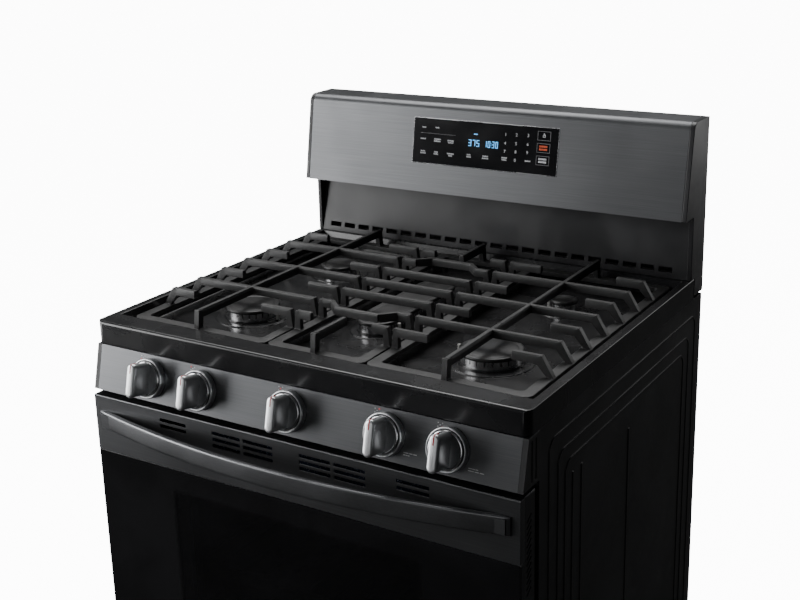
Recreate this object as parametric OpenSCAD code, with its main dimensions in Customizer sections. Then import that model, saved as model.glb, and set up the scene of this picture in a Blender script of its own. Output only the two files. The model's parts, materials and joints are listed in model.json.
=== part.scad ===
// Freestanding gas range, 30 inch class, with five burners, one oven and a storage drawer.
// Origin: centre of the outline at floor level. +X to the user's right, -Y to the front, +Z up.

/* [Overall] */
// Width over the side panels
range_w = 757; // [700:1:800]
// Floor to the rim of the cooktop
rim_h = 914; // [890:1:940]
// Depth of the side panels
body_d = 640; // [610:1:680]
// Rise of the back guard above the rim
guard_rise = 269; // [220:1:300]
// Sheet thickness of the body panels
sheet = 1.5; // [1.2:0.1:2]

/* [Cooktop] */
// Height of the cooktop's front skirt
lip_h = 37; // [30:1:45]
// How far the skirt stands in front of the side panels
lip_reach = 33; // [25:1:38]
// Depth of the recessed pan below the rim
pan_depth = 28; // [26:1:32]
// Burner distance from the centreline
burner_x = 221; // [205:1:225]
// Front row of burners behind the side panels' front edge
burner_front_y = 164; // [150:1:175]
// Rear row of burners behind the same edge
burner_rear_y = 418; // [400:1:430]
// Cap radius, front left
cap_fl = 45; // [38:1:50]
// Cap radius, front right
cap_fr = 49; // [38:1:52]
// Cap radius, rear left
cap_rl = 34; // [28:1:45]
// Cap radius, rear right
cap_rr = 22; // [20:1:40]
// Half width of the long centre cap
cap_c = 34; // [28:1:40]
// Length of the long centre cap
cap_c_len = 246; // [200:1:260]

/* [Grates] */
// Top of the grates above the rim
grate_rise = 23; // [18:1:28]
// Outer tip of the fingers from the centreline
finger_tip_x = 333; // [320:1:338]
// Half width of the centre grate
centre_half = 88.5; // [80:0.5:95]
// Spacing of the finger rows
finger_pitch = 63; // [58:1:65]
// Width across the top of a bar
bar_top = 6; // [5:0.5:8]
// Width across the bottom of a bar
bar_foot = 9; // [8:0.5:11]
// Height of a bar
bar_h = 13; // [10:1:15]

/* [Control panel] */
// Height of the sloping control panel
panel_h = 71; // [66:1:74]
// How far the panel's lower edge stands in front of the side panels
panel_reach = 50; // [44:1:52]
// Knob positions from the centreline
knob_x = [-265, -165, 0, 165, 265];
// Knob skirt radius
knob_r = 27; // [22:1:29]
// Knob height over the panel
knob_tall = 46; // [36:1:50]
// Push travel before a knob will turn
knob_push = 2.5; // [2:0.1:3]

/* [Door] */
// Gap between the control panel and the door
door_gap = 8; // [6:1:10]
// Front of the door ahead of the side panels
door_reach = 54; // [50:1:58]
// Height of the metal band along the door's top
band_h = 94; // [80:1:105]
// Height of the drawer front
drawer_h = 206; // [180:1:230]
// Bottom of the drawer front above the floor
toe_h = 58; // [50:1:80]
// Forward bow of the door handle
handle_bow = 44; // [35:1:46]
// Height of the handle bar
handle_h = 28; // [22:1:32]
// Half length of the handle
handle_half = 364; // [330:1:368]

/* [Oven] */
// Width of the oven cavity
cavity_w = 610; // [580:1:620]
// Depth of the oven cavity
cavity_d = 500; // [470:1:520]
// Height of the oven cavity
cavity_h = 440; // [400:1:450]
// Thickness of the insulation round the cavity
wool = 30; // [25:1:32]

/* [Back guard] */
// Height of the guard's front panel
guard_h = 159; // [140:1:175]
// Front lower edge of the guard behind the side panels' front edge
guard_y = 542; // [530:1:550]
// Backward lean of the guard panel over its height
guard_lean = 27; // [15:1:35]
// Width of the display glass
display_w = 286; // [240:1:320]
// Height of the display glass
display_h = 80; // [60:1:90]

/* [Hidden] */

hw = range_w / 2;
lip_z = rim_h - lip_h;
pan_z = rim_h - pan_depth;
top_z = rim_h + guard_rise;
cover_t = 12;
handle_t = 9;
door_t = 48;
fit = 0.3;
reach = door_reach + handle_bow + 3;
shift_y = (reach - body_d - cover_t) / 2;

panel_lean = atan((panel_reach - lip_reach) / panel_h);
panel_mid = panel_h / 2;
panel_bot = lip_z - 1 - panel_h;
knob_face_y = -(panel_reach + lip_reach) / 2;
knob_face_z = panel_bot + panel_mid;
stem_r = 3;
stem_back = 52;
valve_front = 50;
valve_r = 12;
wool_clear = 1.5;
pipe_r = 10;
pipe_s = 92;
bezel_out = knob_r + 4;
bezel_in = knob_r + 1.2;
bezel_t = 11;
grip_w = 16;

door_top = panel_bot - door_gap;
drawer_top = toe_h + drawer_h;
door_bot = drawer_top + 8;
door_hw = hw - 2;
door_back = -(door_reach - door_t);
glass_t = 4;
band_bot = door_top - band_h;
hinge_y = -36;
hinge_z = door_bot + 18;
hinge_x = 300;
hinge_pin_r = 4;
hinge_gap = 10;

cav_z0 = door_bot + 60;
cav_y0 = 4;
// the cavity's height is given for a rim at this height, and grows or shrinks with the rim
rim_given = 914;
cav_z1 = cav_z0 + cavity_h + rim_h - rim_given;
rod_r = 3;
rack_y0 = 76;
rack_d = 400;
rack_hw = cavity_w / 2 - 6;
ledge_in = 12;
rack_zs = [cav_z0 + 130, cav_z0 + 250];
floor_z = cav_z0 + 36;

frame_hw = hw - 29;
slot_bot = toe_h - 8;

guard_bot = top_z - guard_h;
guard_back = body_d;
row_mid = (burner_front_y + burner_rear_y) / 2;
rail_top = pan_z + 21;
rail_h = 8;
rail_w = 18;
grate_top = rim_h + grate_rise;
grate_y0 = 22;
grate_y1 = 2 * row_mid - grate_y0;
burners = [[-burner_x, burner_front_y, cap_fl], [burner_x, burner_front_y, cap_fr],
    [-burner_x, burner_rear_y, cap_rl], [burner_x, burner_rear_y, cap_rr]];
boss_z = pan_z + 4;
ring_top = boss_z + 12;
cap_t = 5.5;
throat_r = 15;
long_y = cap_c_len / 2 - cap_c;

module box(a, b) {
    translate(a) cube([b[0] - a[0], b[1] - a[1], b[2] - a[2]]);
}

// a plate across the whole width, centred on the middle
module wide(half, y0, y1, z0, z1) {
    box([-half, y0, z0], [half, y1, z1]);
}

module placed() {
    translate([0, shift_y, 0]) children();
}

module both() {
    children();
    mirror([1, 0, 0]) children();
}

// an outline in depth and height, drawn out along the width
module along_x(half) {
    translate([-half, 0, 0]) rotate([90, 0, 90]) linear_extrude(2 * half) children();
}

module rounded(w, h, r) {
    union() {
        translate([r, 0]) square([w - 2 * r, h]);
        translate([0, r]) square([w, h - 2 * r]);
        for (x = [r, w - r], y = [r, h - r]) translate([x, y]) circle(r, $fn = 32);
    }
}

// ---------------------------------------------------------------- body shell

emboss = 1.2;
skin_x = hw - emboss;
foot_z = 22;
foot_x = hw - 40;
foot_ys = [45, body_d - 60];
bolt_r = 4;

module ridge(inset) {
    z1 = lip_z - inset;
    w = body_d - 2 * inset;
    h = z1 - foot_z - inset;
    translate([0, inset, z1 - h]) rotate([90, 0, 90]) linear_extrude(emboss + 0.2) difference() {
        rounded(w, h, 20);
        translate([3, 3]) rounded(w - 6, h - 6, 17);
    }
}

module side_panel() {
    color([0.13, 0.13, 0.14]) {
        difference() {
            union() {
                box([skin_x - sheet, 0, foot_z], [skin_x, body_d, lip_z - fit]);
                box([frame_hw + 1, 0, foot_z], [skin_x, sheet, lip_z - fit]);
                box([frame_hw + 1, body_d - sheet, foot_z], [skin_x, body_d, lip_z - fit]);
                box([frame_hw - 25, 0, foot_z], [skin_x, body_d, foot_z + sheet]);
                box([frame_hw + 1, 0, lip_z - fit - sheet], [skin_x, body_d, lip_z - fit]);
                translate([skin_x - 0.2, 0, 0]) for (inset = [29, 58, 82]) ridge(inset);
                box([skin_x - 0.2, 107, foot_z + 107], [hw, 110, lip_z - 107]);
                box([skin_x - 0.2, 137, foot_z + 107], [hw, 140, lip_z - 107]);
                box([skin_x - 0.2, 314, foot_z + 107], [hw, 318, lip_z - 124]);
            }
            for (y = foot_ys) translate([foot_x, y, foot_z - 1]) cylinder(h = 4, r = bolt_r + fit, $fn = 32);
        }
    }
}

module side_panel_right() { placed() side_panel(); }
module side_panel_left() { placed() mirror([1, 0, 0]) side_panel(); }

gland_x = -250;
gland_z = 150;
gland_r = 12;
inlet_x = 250;

module back_panel() {
    color([0.62, 0.63, 0.64]) placed() difference() {
        wide(skin_x - sheet, body_d - 2 * sheet, body_d - sheet, foot_z + 2 * sheet, lip_z - 3);
        for (x = [-200:20:194], z = [cav_z1 + 60])
            box([x, body_d - 4, z], [x + 6, body_d, z + 40]);
        translate([gland_x, body_d + 1, gland_z]) rotate([90, 0, 0])
            cylinder(h = 6, r = gland_r + fit, $fn = 48);
        translate([inlet_x, body_d + 1, pipe_z]) rotate([90, 0, 0]) cylinder(h = 6, r = 30, $fn = 48);
    }
}

module base_pan() {
    color([0.62, 0.63, 0.64]) placed() difference() {
        wide(skin_x - sheet, 2 * sheet, body_d - 2 * sheet, foot_z + sheet, foot_z + 2 * sheet);
        both() for (y = foot_ys)
            translate([foot_x, y, foot_z]) cylinder(h = 5, r = bolt_r + fit, $fn = 32);
        for (y = [150:60:510]) box([-180, y, foot_z], [180, y + 12, foot_z + 5]);
    }
}

module leveling_feet() {
    color([0.3, 0.3, 0.31]) placed() both() for (y = foot_ys) translate([foot_x, y, 0]) {
        cylinder(h = 8, r = 17, $fn = 48);
        translate([0, 0, 7]) cylinder(h = 33, r = bolt_r, $fn = 32);
        translate([0, 0, foot_z - 8]) cylinder(h = 8, r = 9, $fn = 6);
    }
}

module front_frame() {
    color([0.2, 0.2, 0.21]) placed() difference() {
        union() {
            wide(frame_hw, 0, sheet, slot_bot, lip_z - 3);
            both() translate([hinge_x, 0, 0]) {
                box([-3, hinge_y, hinge_z - 7], [3, sheet, hinge_z + 7]);
                translate([-3, hinge_y, hinge_z]) rotate([0, 90, 0]) cylinder(h = 6, r = 7, $fn = 48);
                translate([-17, hinge_y, hinge_z]) rotate([0, 90, 0])
                    cylinder(h = 34, r = hinge_pin_r, $fn = 48);
            }
        }
        wide(cavity_w / 2, -1, sheet + 1, cav_z0, cav_z1);
        wide(frame_hw - 14, -1, sheet + 1, slot_bot - 1, drawer_top - 14);
        for (x = knob_x) on_panel(x) cylinder(h = 120, r = stem_r + 3, center = true, $fn = 48);
    }
}

// ---------------------------------------------------------------- oven

module oven_liner() {
    w = cavity_w / 2;
    y1 = cav_y0 + cavity_d;
    color([0.16, 0.17, 0.22]) placed() difference() {
        union() {
            difference() {
                wide(w + sheet, sheet, y1 + sheet, cav_z0 - sheet, cav_z1 + sheet);
                wide(w, 0, y1, cav_z0, cav_z1);
            }
            both() for (z = rack_zs) {
                box([w - ledge_in, 30, z - 6], [w + 0.1, y1 - 10, z - rod_r - fit]);
                box([w - ledge_in, 30, z + rod_r + 2], [w + 0.1, y1 - 10, z + rod_r + 5]);
            }
            both() box([w - ledge_in, 20, floor_z - 5], [w + 0.1, y1 + 0.1, floor_z - fit]);
        }
        translate([-200, y1 + 5, cav_z1 - 70]) rotate([90, 0, 0]) cylinder(h = 10, r = 22, $fn = 48);
        translate([230, y1 + 5, cav_z1 - 60]) rotate([90, 0, 0]) cylinder(h = 10, r = 4, $fn = 32);
        translate([0, y1 + 5, cav_z0 + 18]) rotate([90, 0, 0]) cylinder(h = 10, r = 14, $fn = 32);
        translate([0, y1 + 5, cav_z1 - 22]) rotate([90, 0, 0]) cylinder(h = 10, r = 14, $fn = 32);
        box([-60, y1 - 80, cav_z1 - 1], [60, y1 - 50, cav_z1 + 5]);
    }
}

module oven_floor() {
    w = cavity_w / 2 - 2;
    color([0.16, 0.17, 0.22]) placed() difference() {
        wide(w, 22, cav_y0 + cavity_d - 2, floor_z, floor_z + sheet);
        both() for (y = [60:50:460]) box([w - 60, y, floor_z - 1], [w - 25, y + 6, floor_z + 4]);
    }
}

module oven_insulation() {
    w = cavity_w / 2 + sheet + fit;
    y1 = cav_y0 + cavity_d + sheet + fit;
    z0 = cav_z0 - sheet - fit;
    z1 = cav_z1 + sheet + fit;
    color([0.85, 0.8, 0.6]) placed() difference() {
        wide(w + wool, 6, y1 + wool, z0 - wool, z1 + wool);
        wide(w, 5, y1, z0, z1);
        translate([-200, y1 + wool + 1, cav_z1 - 70]) rotate([90, 0, 0])
            cylinder(h = wool + 5, r = 24, $fn = 48);
        translate([230, y1 + wool + 1, cav_z1 - 60]) rotate([90, 0, 0])
            cylinder(h = wool + 5, r = 6, $fn = 32);
        for (z = [cav_z0 + 18, cav_z1 - 22]) translate([0, y1 + wool + 1, z]) rotate([90, 0, 0])
            cylinder(h = wool + 5, r = 15, $fn = 32);
        box([-62, y1 - 84, cav_z1], [62, y1 - 48, z1 + wool + 1]);
        for (x = knob_x) on_panel(x) mirror([0, 0, 1]) translate([0, 0, valve_front - wool_clear])
            cylinder(h = pipe_s - valve_front + 2 * wool_clear, r = valve_r + 3 + wool_clear, $fn = 48);
    }
}

module door_gasket() {
    w = cavity_w / 2 + 6;
    color([0.25, 0.25, 0.26]) placed() difference() {
        wide(w + 8, door_back + 0.4, 0, cav_z0 - 14, cav_z1 + 14);
        wide(w, door_back - 1, 1, cav_z0 - 6, cav_z1 + 6);
    }
}

module rod_x(x0, x1, y, z, r) {
    translate([x0, y, z]) rotate([0, 90, 0]) cylinder(h = x1 - x0, r = r, $fn = 24);
}

module rod_y(x, y0, y1, z, r) {
    translate([x, y1, z]) rotate([90, 0, 0]) cylinder(h = y1 - y0, r = r, $fn = 24);
}

module rack(z) {
    n = 13;
    color([0.75, 0.75, 0.77]) placed() {
        both() rod_y(rack_hw - rod_r, rack_y0, rack_y0 + rack_d, z, rod_r);
        for (y = [rack_y0, rack_y0 + rack_d / 2, rack_y0 + rack_d])
            rod_x(-rack_hw + rod_r, rack_hw - rod_r, y, z, rod_r);
        for (i = [1:n - 1])
            rod_y(-rack_hw + i * 2 * rack_hw / n, rack_y0, rack_y0 + rack_d, z + 0.5, 1.6);
        for (x = [-1, 1], y = [rack_y0, rack_y0 + rack_d])
            translate([x * (rack_hw - rod_r), y, z]) sphere(rod_r, $fn = 24);
    }
}

module rack_lower() { rack(rack_zs[0]); }
module rack_upper() { rack(rack_zs[1]); }

module bake_burner() {
    z = cav_z0 + 18;
    color([0.5, 0.5, 0.52]) placed() difference() {
        rod_y(0, 60, cav_y0 + cavity_d + wool + 20, z, 12);
        rod_y(0, 63, cav_y0 + cavity_d + wool + 21, z, 10.5);
        for (y = [80:24:460]) rod_x(-20, 20, y, z + 3, 1.5);
    }
}

module broil_burner() {
    z = cav_z1 - 22;
    color([0.5, 0.5, 0.52]) placed() difference() {
        union() {
            rod_y(0, 60, cav_y0 + cavity_d + wool + 20, z, 12);
            box([-70, 70, z - 6], [70, 420, z + 6]);
        }
        rod_y(0, 63, cav_y0 + cavity_d + wool + 21, z, 10.5);
        for (x = [-55:22:55], y = [85:28:400]) box([x - 2, y, z - 10], [x + 2, y + 12, z - 2]);
    }
}

module oven_lamp() {
    y1 = cav_y0 + cavity_d;
    color([0.9, 0.9, 0.85]) placed() translate([-200, y1, cav_z1 - 70]) rotate([90, 0, 0]) {
        translate([0, 0, -wool]) cylinder(h = wool, r = 21, $fn = 48);
        cylinder(h = 8, r = 27, $fn = 48);
        translate([0, 0, 7]) cylinder(h = 22, r = 20, $fn = 48);
        translate([0, 0, 28]) cylinder(h = 4, r1 = 20, r2 = 15, $fn = 48);
    }
}

module temperature_sensor() {
    y1 = cav_y0 + cavity_d;
    color([0.7, 0.7, 0.72]) placed() translate([230, y1, cav_z1 - 60]) rotate([90, 0, 0]) {
        translate([0, 0, -wool]) cylinder(h = wool + 1, r = 3.5, $fn = 32);
        cylinder(h = 2, r = 10, $fn = 32);
        translate([0, 0, 1]) cylinder(h = 110, r = 2.5, $fn = 32);
    }
}

// ---------------------------------------------------------------- gas train

module on_panel(x) {
    translate([x, knob_face_y, knob_face_z]) rotate([90 - panel_lean, 0, 0]) children();
}

pipe_y = knob_face_y + pipe_s * cos(panel_lean);
pipe_z = knob_face_z - pipe_s * sin(panel_lean);

module manifold_pipe() {
    color([0.55, 0.55, 0.56]) placed() difference() {
        union() {
            rod_x(-300, 300, pipe_y, pipe_z, pipe_r);
            rod_y(inlet_x, pipe_y, 560, pipe_z, pipe_r);
        }
        rod_y(inlet_x, pipe_y + 20, 561, pipe_z, pipe_r - 2);
    }
}

module gas_valves() {
    color([0.72, 0.6, 0.36]) placed() for (x = knob_x) difference() {
        on_panel(x) mirror([0, 0, 1]) union() {
            translate([0, 0, valve_front]) cylinder(h = pipe_s - valve_front, r = valve_r, $fn = 48);
            translate([0, 0, valve_front + 8]) cylinder(h = 12, r = valve_r + 3, $fn = 6);
        }
        on_panel(x) mirror([0, 0, 1]) translate([0, 0, valve_front - 1])
            cylinder(h = 12, r = stem_r + 0.4, $fn = 48);
        rod_x(x - 30, x + 30, pipe_y, pipe_z, pipe_r);
    }
}

thread_r = 10.5;

module gas_regulator() {
    color([0.6, 0.6, 0.6]) placed() difference() {
        union() {
            translate([inlet_x, 560, pipe_z]) rotate([-90, 0, 0]) cylinder(h = 46, r = 22, $fn = 48);
            translate([inlet_x, 583, pipe_z]) cylinder(h = 30, r = 16, $fn = 48);
            translate([inlet_x, 600, pipe_z]) rotate([-90, 0, 0]) cylinder(h = 28, r = thread_r + 3, $fn = 6);
        }
        rod_y(inlet_x, 570, 640, pipe_z, thread_r);
    }
}

// the long burner's outline: two round ends and straight sides
module long_round(r, h) {
    union() {
        for (s = [-1, 1]) translate([0, s * long_y, 0]) cylinder(h = h, r = r, $fn = 64);
        translate([-r, -long_y, 0]) cube([2 * r, 2 * long_y, h]);
    }
}

module base_ring(r) {
    translate([0, 0, boss_z]) difference() {
        cylinder(h = ring_top - boss_z, r = r, $fn = 96);
        translate([0, 0, 3]) cylinder(h = 20, r = r - 7, $fn = 96);
        cylinder(h = 20, r = 8, center = true, $fn = 32);
        for (a = [0:15:345]) rotate(a) translate([r - 10, -0.9, 4]) cube([14, 1.8, 20]);
    }
    translate([0, 0, boss_z - 16]) difference() {
        cylinder(h = 16, r = throat_r, $fn = 48);
        translate([0, 0, -1]) cylinder(h = 18, r = 8, $fn = 32);
    }
}

module burner_bases() {
    color([0.78, 0.79, 0.8]) placed() {
        for (b = burners) translate([b[0], b[1], 0]) base_ring(b[2] - 3);
        translate([0, row_mid, 0]) {
            translate([0, 0, boss_z]) difference() {
                long_round(cap_c - 3, ring_top - boss_z);
                translate([0, 0, 3]) long_round(cap_c - 10, 20);
                translate([0, -long_y, 0]) cylinder(h = 20, r = 8, center = true, $fn = 32);
                for (y = [-long_y:12:long_y]) translate([-cap_c, y - 0.9, 4]) cube([2 * cap_c, 1.8, 20]);
                for (s = [-1, 1], a = [15:15:165]) translate([0, s * long_y, 0]) rotate(s * a)
                    translate([cap_c - 13, -0.9, 4]) cube([14, 1.8, 20]);
            }
            translate([0, -long_y, boss_z - 16]) difference() {
                cylinder(h = 16, r = throat_r, $fn = 48);
                translate([0, 0, -1]) cylinder(h = 18, r = 8, $fn = 32);
            }
        }
    }
}

module igniters() {
    color([0.92, 0.92, 0.9]) placed() {
        for (b = burners) translate([b[0] - sign(b[0]) * (b[2] + 5), b[1], pan_z + 2])
            cylinder(h = 16, r = 2.6, $fn = 24);
        translate([cap_c + 5, row_mid - long_y, pan_z + 2]) cylinder(h = 16, r = 2.6, $fn = 24);
    }
}

module round_cap(r) {
    translate([0, 0, ring_top + 0.2]) {
        cylinder(h = cap_t - 1.5, r = r, $fn = 96);
        translate([0, 0, cap_t - 1.5]) cylinder(h = 1.5, r1 = r, r2 = r - 1.5, $fn = 96);
        translate([0, 0, -5]) difference() {
            cylinder(h = 5.1, r = r - 11, $fn = 64);
            translate([0, 0, -1]) cylinder(h = 5, r = r - 14, $fn = 64);
        }
    }
}

module cap_at(b) {
    color([0.07, 0.07, 0.07]) placed() translate([b[0], b[1], 0]) round_cap(b[2]);
}

module cap_front_left() { cap_at(burners[0]); }
module cap_front_right() { cap_at(burners[1]); }
module cap_rear_left() { cap_at(burners[2]); }
module cap_rear_right() { cap_at(burners[3]); }

module cap_centre() {
    color([0.07, 0.07, 0.07]) placed() translate([0, row_mid, ring_top + 0.2]) {
        long_round(cap_c, cap_t - 1.5);
        translate([0, 0, cap_t - 1.5]) long_round(cap_c - 1.5, 1.5);
        translate([0, 0, -5]) difference() {
            long_round(cap_c - 11, 5.1);
            translate([0, 0, -1]) long_round(cap_c - 14, 5);
        }
    }
}

// ---------------------------------------------------------------- cooktop

rim_w = 14;
recess_y0 = 8;
recess_y1 = grate_y1 + 14;
cook_back = body_d - 45;

module pan_space(grow, down) {
    s = 10;
    intersection() {
        along_x(hw) polygon([[recess_y0 - grow, rim_h + 5], [recess_y0 - grow, rim_h],
            [recess_y0 + s - grow, down], [recess_y1 - s + grow, down],
            [recess_y1 + grow, rim_h], [recess_y1 + grow, rim_h + 5]]);
        translate([0, recess_y0 - 20, 0]) rotate([90, 0, 0]) mirror([0, 0, 1])
            linear_extrude(recess_y1 - recess_y0 + 40) polygon([[-hw + rim_w - grow, rim_h + 5],
                [-hw + rim_w - grow, rim_h], [-hw + rim_w + s - grow, down],
                [hw - rim_w - s + grow, down], [hw - rim_w + grow, rim_h], [hw - rim_w + grow, rim_h + 5]]);
    }
}

module cook_outline(inset) {
    r = 12 - inset;
    x = hw - inset;
    union() {
        translate([-x, -lip_reach + 12]) square([2 * x, cook_back + lip_reach - 12 - inset]);
        translate([-hw + 12, -lip_reach + inset]) square([2 * hw - 24, 30]);
        for (s = [-1, 1]) translate([s * (hw - 12), -lip_reach + 12]) circle(r, $fn = 48);
    }
}

module cooktop() {
    wall = 2;
    edge = 5;
    color([0.05, 0.05, 0.06]) placed() difference() {
        intersection() {
            union() {
                difference() {
                    translate([0, 0, lip_z]) linear_extrude(lip_h) cook_outline(0);
                    difference() {
                        translate([0, 0, lip_z - 1]) linear_extrude(lip_h + 1 - wall) cook_outline(wall);
                        pan_space(wall, pan_z - wall);
                    }
                    pan_space(0, pan_z);
                }
                for (b = burners) translate([b[0], b[1], pan_z - 1]) {
                    cylinder(h = 2.5, r = b[2] + 16, $fn = 96);
                    cylinder(h = 1 + boss_z - pan_z, r = b[2] + 1, $fn = 96);
                }
                translate([0, row_mid, pan_z - 1]) {
                    long_round(cap_c + 12, 2.5);
                    long_round(cap_c, 1 + boss_z - pan_z);
                }
            }
            along_x(hw + 1) union() {
                translate([-lip_reach + edge, lip_z - 1]) square([cook_back + lip_reach, lip_h + 1]);
                translate([-lip_reach, lip_z - 1]) square([edge + 1, lip_h + 1 - edge]);
                translate([-lip_reach + edge, rim_h - edge]) circle(edge, $fn = 48);
            }
        }
        for (b = burners) translate([b[0], b[1], pan_z - 5]) {
            cylinder(h = 20, r = throat_r + fit, $fn = 48);
            translate([-sign(b[0]) * (b[2] + 5), 0, 0]) cylinder(h = 20, r = 2.6 + fit, $fn = 24);
        }
        translate([0, row_mid - long_y, pan_z - 5]) {
            cylinder(h = 20, r = throat_r + fit, $fn = 48);
            translate([cap_c + 5, 0, 0]) cylinder(h = 20, r = 2.6 + fit, $fn = 24);
        }
    }
}

// ---------------------------------------------------------------- grates

// one raised bar from a to b on the plan, its top at the grate's top
module bar(a, b) {
    d = b - a;
    len = norm(d);
    translate([a[0], a[1], grate_top - bar_h]) rotate(atan2(d[1], d[0])) rotate([90, 0, 90])
        linear_extrude(len) polygon([[-bar_foot / 2, 0], [bar_foot / 2, 0], [bar_foot / 2, bar_h - 4],
            [bar_top / 2, bar_h], [-bar_top / 2, bar_h], [-bar_foot / 2, bar_h - 4]]);
}

// a leg that slopes from a bar's end down to the rail, in the plane of the bar
module leg(x0, x1, y) {
    s = sign(x1 - x0);
    translate([0, y + bar_foot / 2, 0]) rotate([90, 0, 0]) linear_extrude(bar_foot)
        polygon([[x0 - s * 8, grate_top - bar_h], [x0 - s * 8, grate_top - 4], [x0 - s * 3, grate_top],
            [x0, grate_top], [x1, rail_top - 2], [x1, rail_top - rail_h], [x1 - s * 16, rail_top - rail_h],
            [x1 - s * 12, rail_top]]);
}

// a leg under the front or back end of a long bar
module end_leg(x, y, s) {
    translate([x - bar_foot / 2, 0, 0]) rotate([90, 0, 90]) linear_extrude(bar_foot)
        polygon([[y + s * 10, grate_top - bar_h], [y + s * 10, grate_top - 1], [y, grate_top],
            [y - s * 4, rail_top - 2], [y - s * 4, rail_top - rail_h], [y + s * 12, rail_top - rail_h],
            [y + s * 8, rail_top]]);
}

module rails(x0, x1) {
    r = 14;
    h = rail_h;
    w = x1 - x0;
    l = grate_y1 - grate_y0;
    difference() {
        translate([x0, grate_y0, rail_top - h]) linear_extrude(h) rounded(w, l, r);
        translate([x0 + rail_w, grate_y0 + rail_w, rail_top - h - 1]) linear_extrude(h + 2)
            rounded(w - 2 * rail_w, l - 2 * rail_w, 6);
    }
    for (x = [x0 + 12, x1 - 12], y = [grate_y0 + 12, grate_y1 - 12])
        translate([x, y, pan_z + 0.2]) cylinder(h = rail_top - h - pan_z, r = 6, $fn = 32);
}

function row_y(i) = row_mid + (i - 3) * finger_pitch;

edge_x = hw - rim_w - 12;
tip_in = centre_half + 5;
seam = 2;

module side_grate() {
    rails(centre_half + seam / 2, edge_x);
    bar([burner_x, grate_y0 + 6], [burner_x, grate_y1 - 6]);
    end_leg(burner_x, grate_y0 + 5, 1);
    end_leg(burner_x, grate_y1 - 5, -1);
    for (i = [0:6]) {
        y = row_y(i);
        long = i % 2 == 1;
        leg(finger_tip_x, edge_x, y);
        leg(tip_in, centre_half + seam / 2, y);
        if (long) bar([tip_in + 3, y], [finger_tip_x - 3, y]);
        if (!long) {
            bar([finger_tip_x - 46, y], [finger_tip_x - 3, y]);
            bar([tip_in + 3, y], [tip_in + 58, y]);
        }
    }
}

module grate_right() { color([0.1, 0.1, 0.1]) placed() side_grate(); }
module grate_left() { color([0.1, 0.1, 0.1]) placed() mirror([1, 0, 0]) side_grate(); }

module grate_centre() {
    x1 = centre_half - seam / 2;
    tip = centre_half - 5;
    bend_x = 50;
    bow = 22;
    color([0.1, 0.1, 0.1]) placed() {
        rails(-x1, x1);
        both() {
            for (i = [0:6]) leg(tip, x1, row_y(i));
            for (i = [0, 6]) bar([tip - 28, row_y(i)], [tip - 3, row_y(i)]);
        }
        for (i = [2, 3, 4]) bar([-tip + 3, row_y(i)], [tip - 3, row_y(i)]);
        for (s = [-1, 1]) {
            y = row_mid + s * 2 * finger_pitch;
            b = y + s * bow;
            both() {
                bar([0, b], [bend_x - 10, b]);
                bar([bend_x - 11, b - s * 0.5], [bend_x + 8, y + s * 2]);
                bar([bend_x + 7, y], [tip - 3, y]);
            }
            front = s < 0 ? grate_y0 + 6 : grate_y1 - 6;
            bar([0, min(front, b - 34 * s * -1)], [0, max(front, b - 34 * s * -1)]);
            end_leg(0, front + s, -s);
        }
    }
}

// ---------------------------------------------------------------- control panel

module panel_outline(t) {
    polygon([[-lip_reach, lip_z - 1], [-panel_reach, panel_bot], [-1, panel_bot], [-1, panel_bot + t],
        [-panel_reach + t * 1.6, panel_bot + t], [-lip_reach + t * 1.6, lip_z - 1 - t],
        [-20, lip_z - 1 - t], [-20, lip_z - 1]]);
}

cap_w = 8;

module control_panel() {
    color([0.38, 0.38, 0.39]) placed() difference() {
        along_x(hw - cap_w - 0.1) panel_outline(sheet);
        for (x = knob_x) on_panel(x) cylinder(h = 12, r = stem_r + 2, center = true, $fn = 48);
    }
}

module panel_end_caps() {
    color([0.1, 0.1, 0.11]) placed() both() difference() {
        translate([hw - cap_w / 2, 0, 0]) along_x(cap_w / 2)
            polygon([[-lip_reach, lip_z - 1], [-panel_reach, panel_bot], [-0.5, panel_bot],
                [-0.5, lip_z - 1]]);
        for (y = [-26, -14]) box([hw - 1.2, y, panel_bot + 6], [hw + 1, y + 3, lip_z - 7]);
    }
}

module knob_bezels() {
    color([0.75, 0.76, 0.77]) placed() for (x = knob_x) on_panel(x) difference() {
        union() {
            cylinder(h = 1.2, r = bezel_out, $fn = 96);
            cylinder(h = bezel_t - 1, r = bezel_out, $fn = 96);
            translate([0, 0, bezel_t - 1]) cylinder(h = 1, r1 = bezel_out, r2 = bezel_out - 1, $fn = 96);
        }
        translate([0, 0, 1.2]) cylinder(h = bezel_t, r = bezel_in, $fn = 96);
        cylinder(h = 10, r = stem_r + 2, center = true, $fn = 48);
    }
}

knob_base = 1.2 + knob_push + 0.6;

module knob(x) {
    h = knob_tall - knob_base;
    color([0.72, 0.73, 0.74]) placed() on_panel(x) translate([0, 0, knob_base]) difference() {
        union() {
            cylinder(h = 6, r = knob_r, $fn = 96);
            translate([0, 0, 6]) cylinder(h = 3, r1 = knob_r, r2 = knob_r - 3, $fn = 96);
            intersection() {
                cylinder(h = h, r = knob_r - 0.5, $fn = 96);
                translate([-grip_w / 2, -knob_r, 0]) cube([grip_w, 2 * knob_r, h]);
            }
        }
        translate([0, 0, -1]) cylinder(h = h - 5, r = stem_r + 0.05, $fn = 48);
    }
}

module knob_1() { knob(knob_x[0]); }
module knob_2() { knob(knob_x[1]); }
module knob_3() { knob(knob_x[2]); }
module knob_4() { knob(knob_x[3]); }
module knob_5() { knob(knob_x[4]); }

module stem(x) {
    color([0.72, 0.6, 0.36]) placed() on_panel(x) translate([0, 0, -stem_back])
        cylinder(h = stem_back + knob_tall - 8, r = stem_r, $fn = 48);
}

module stem_1() { stem(knob_x[0]); }
module stem_2() { stem(knob_x[1]); }
module stem_3() { stem(knob_x[2]); }
module stem_4() { stem(knob_x[3]); }
module stem_5() { stem(knob_x[4]); }

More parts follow.
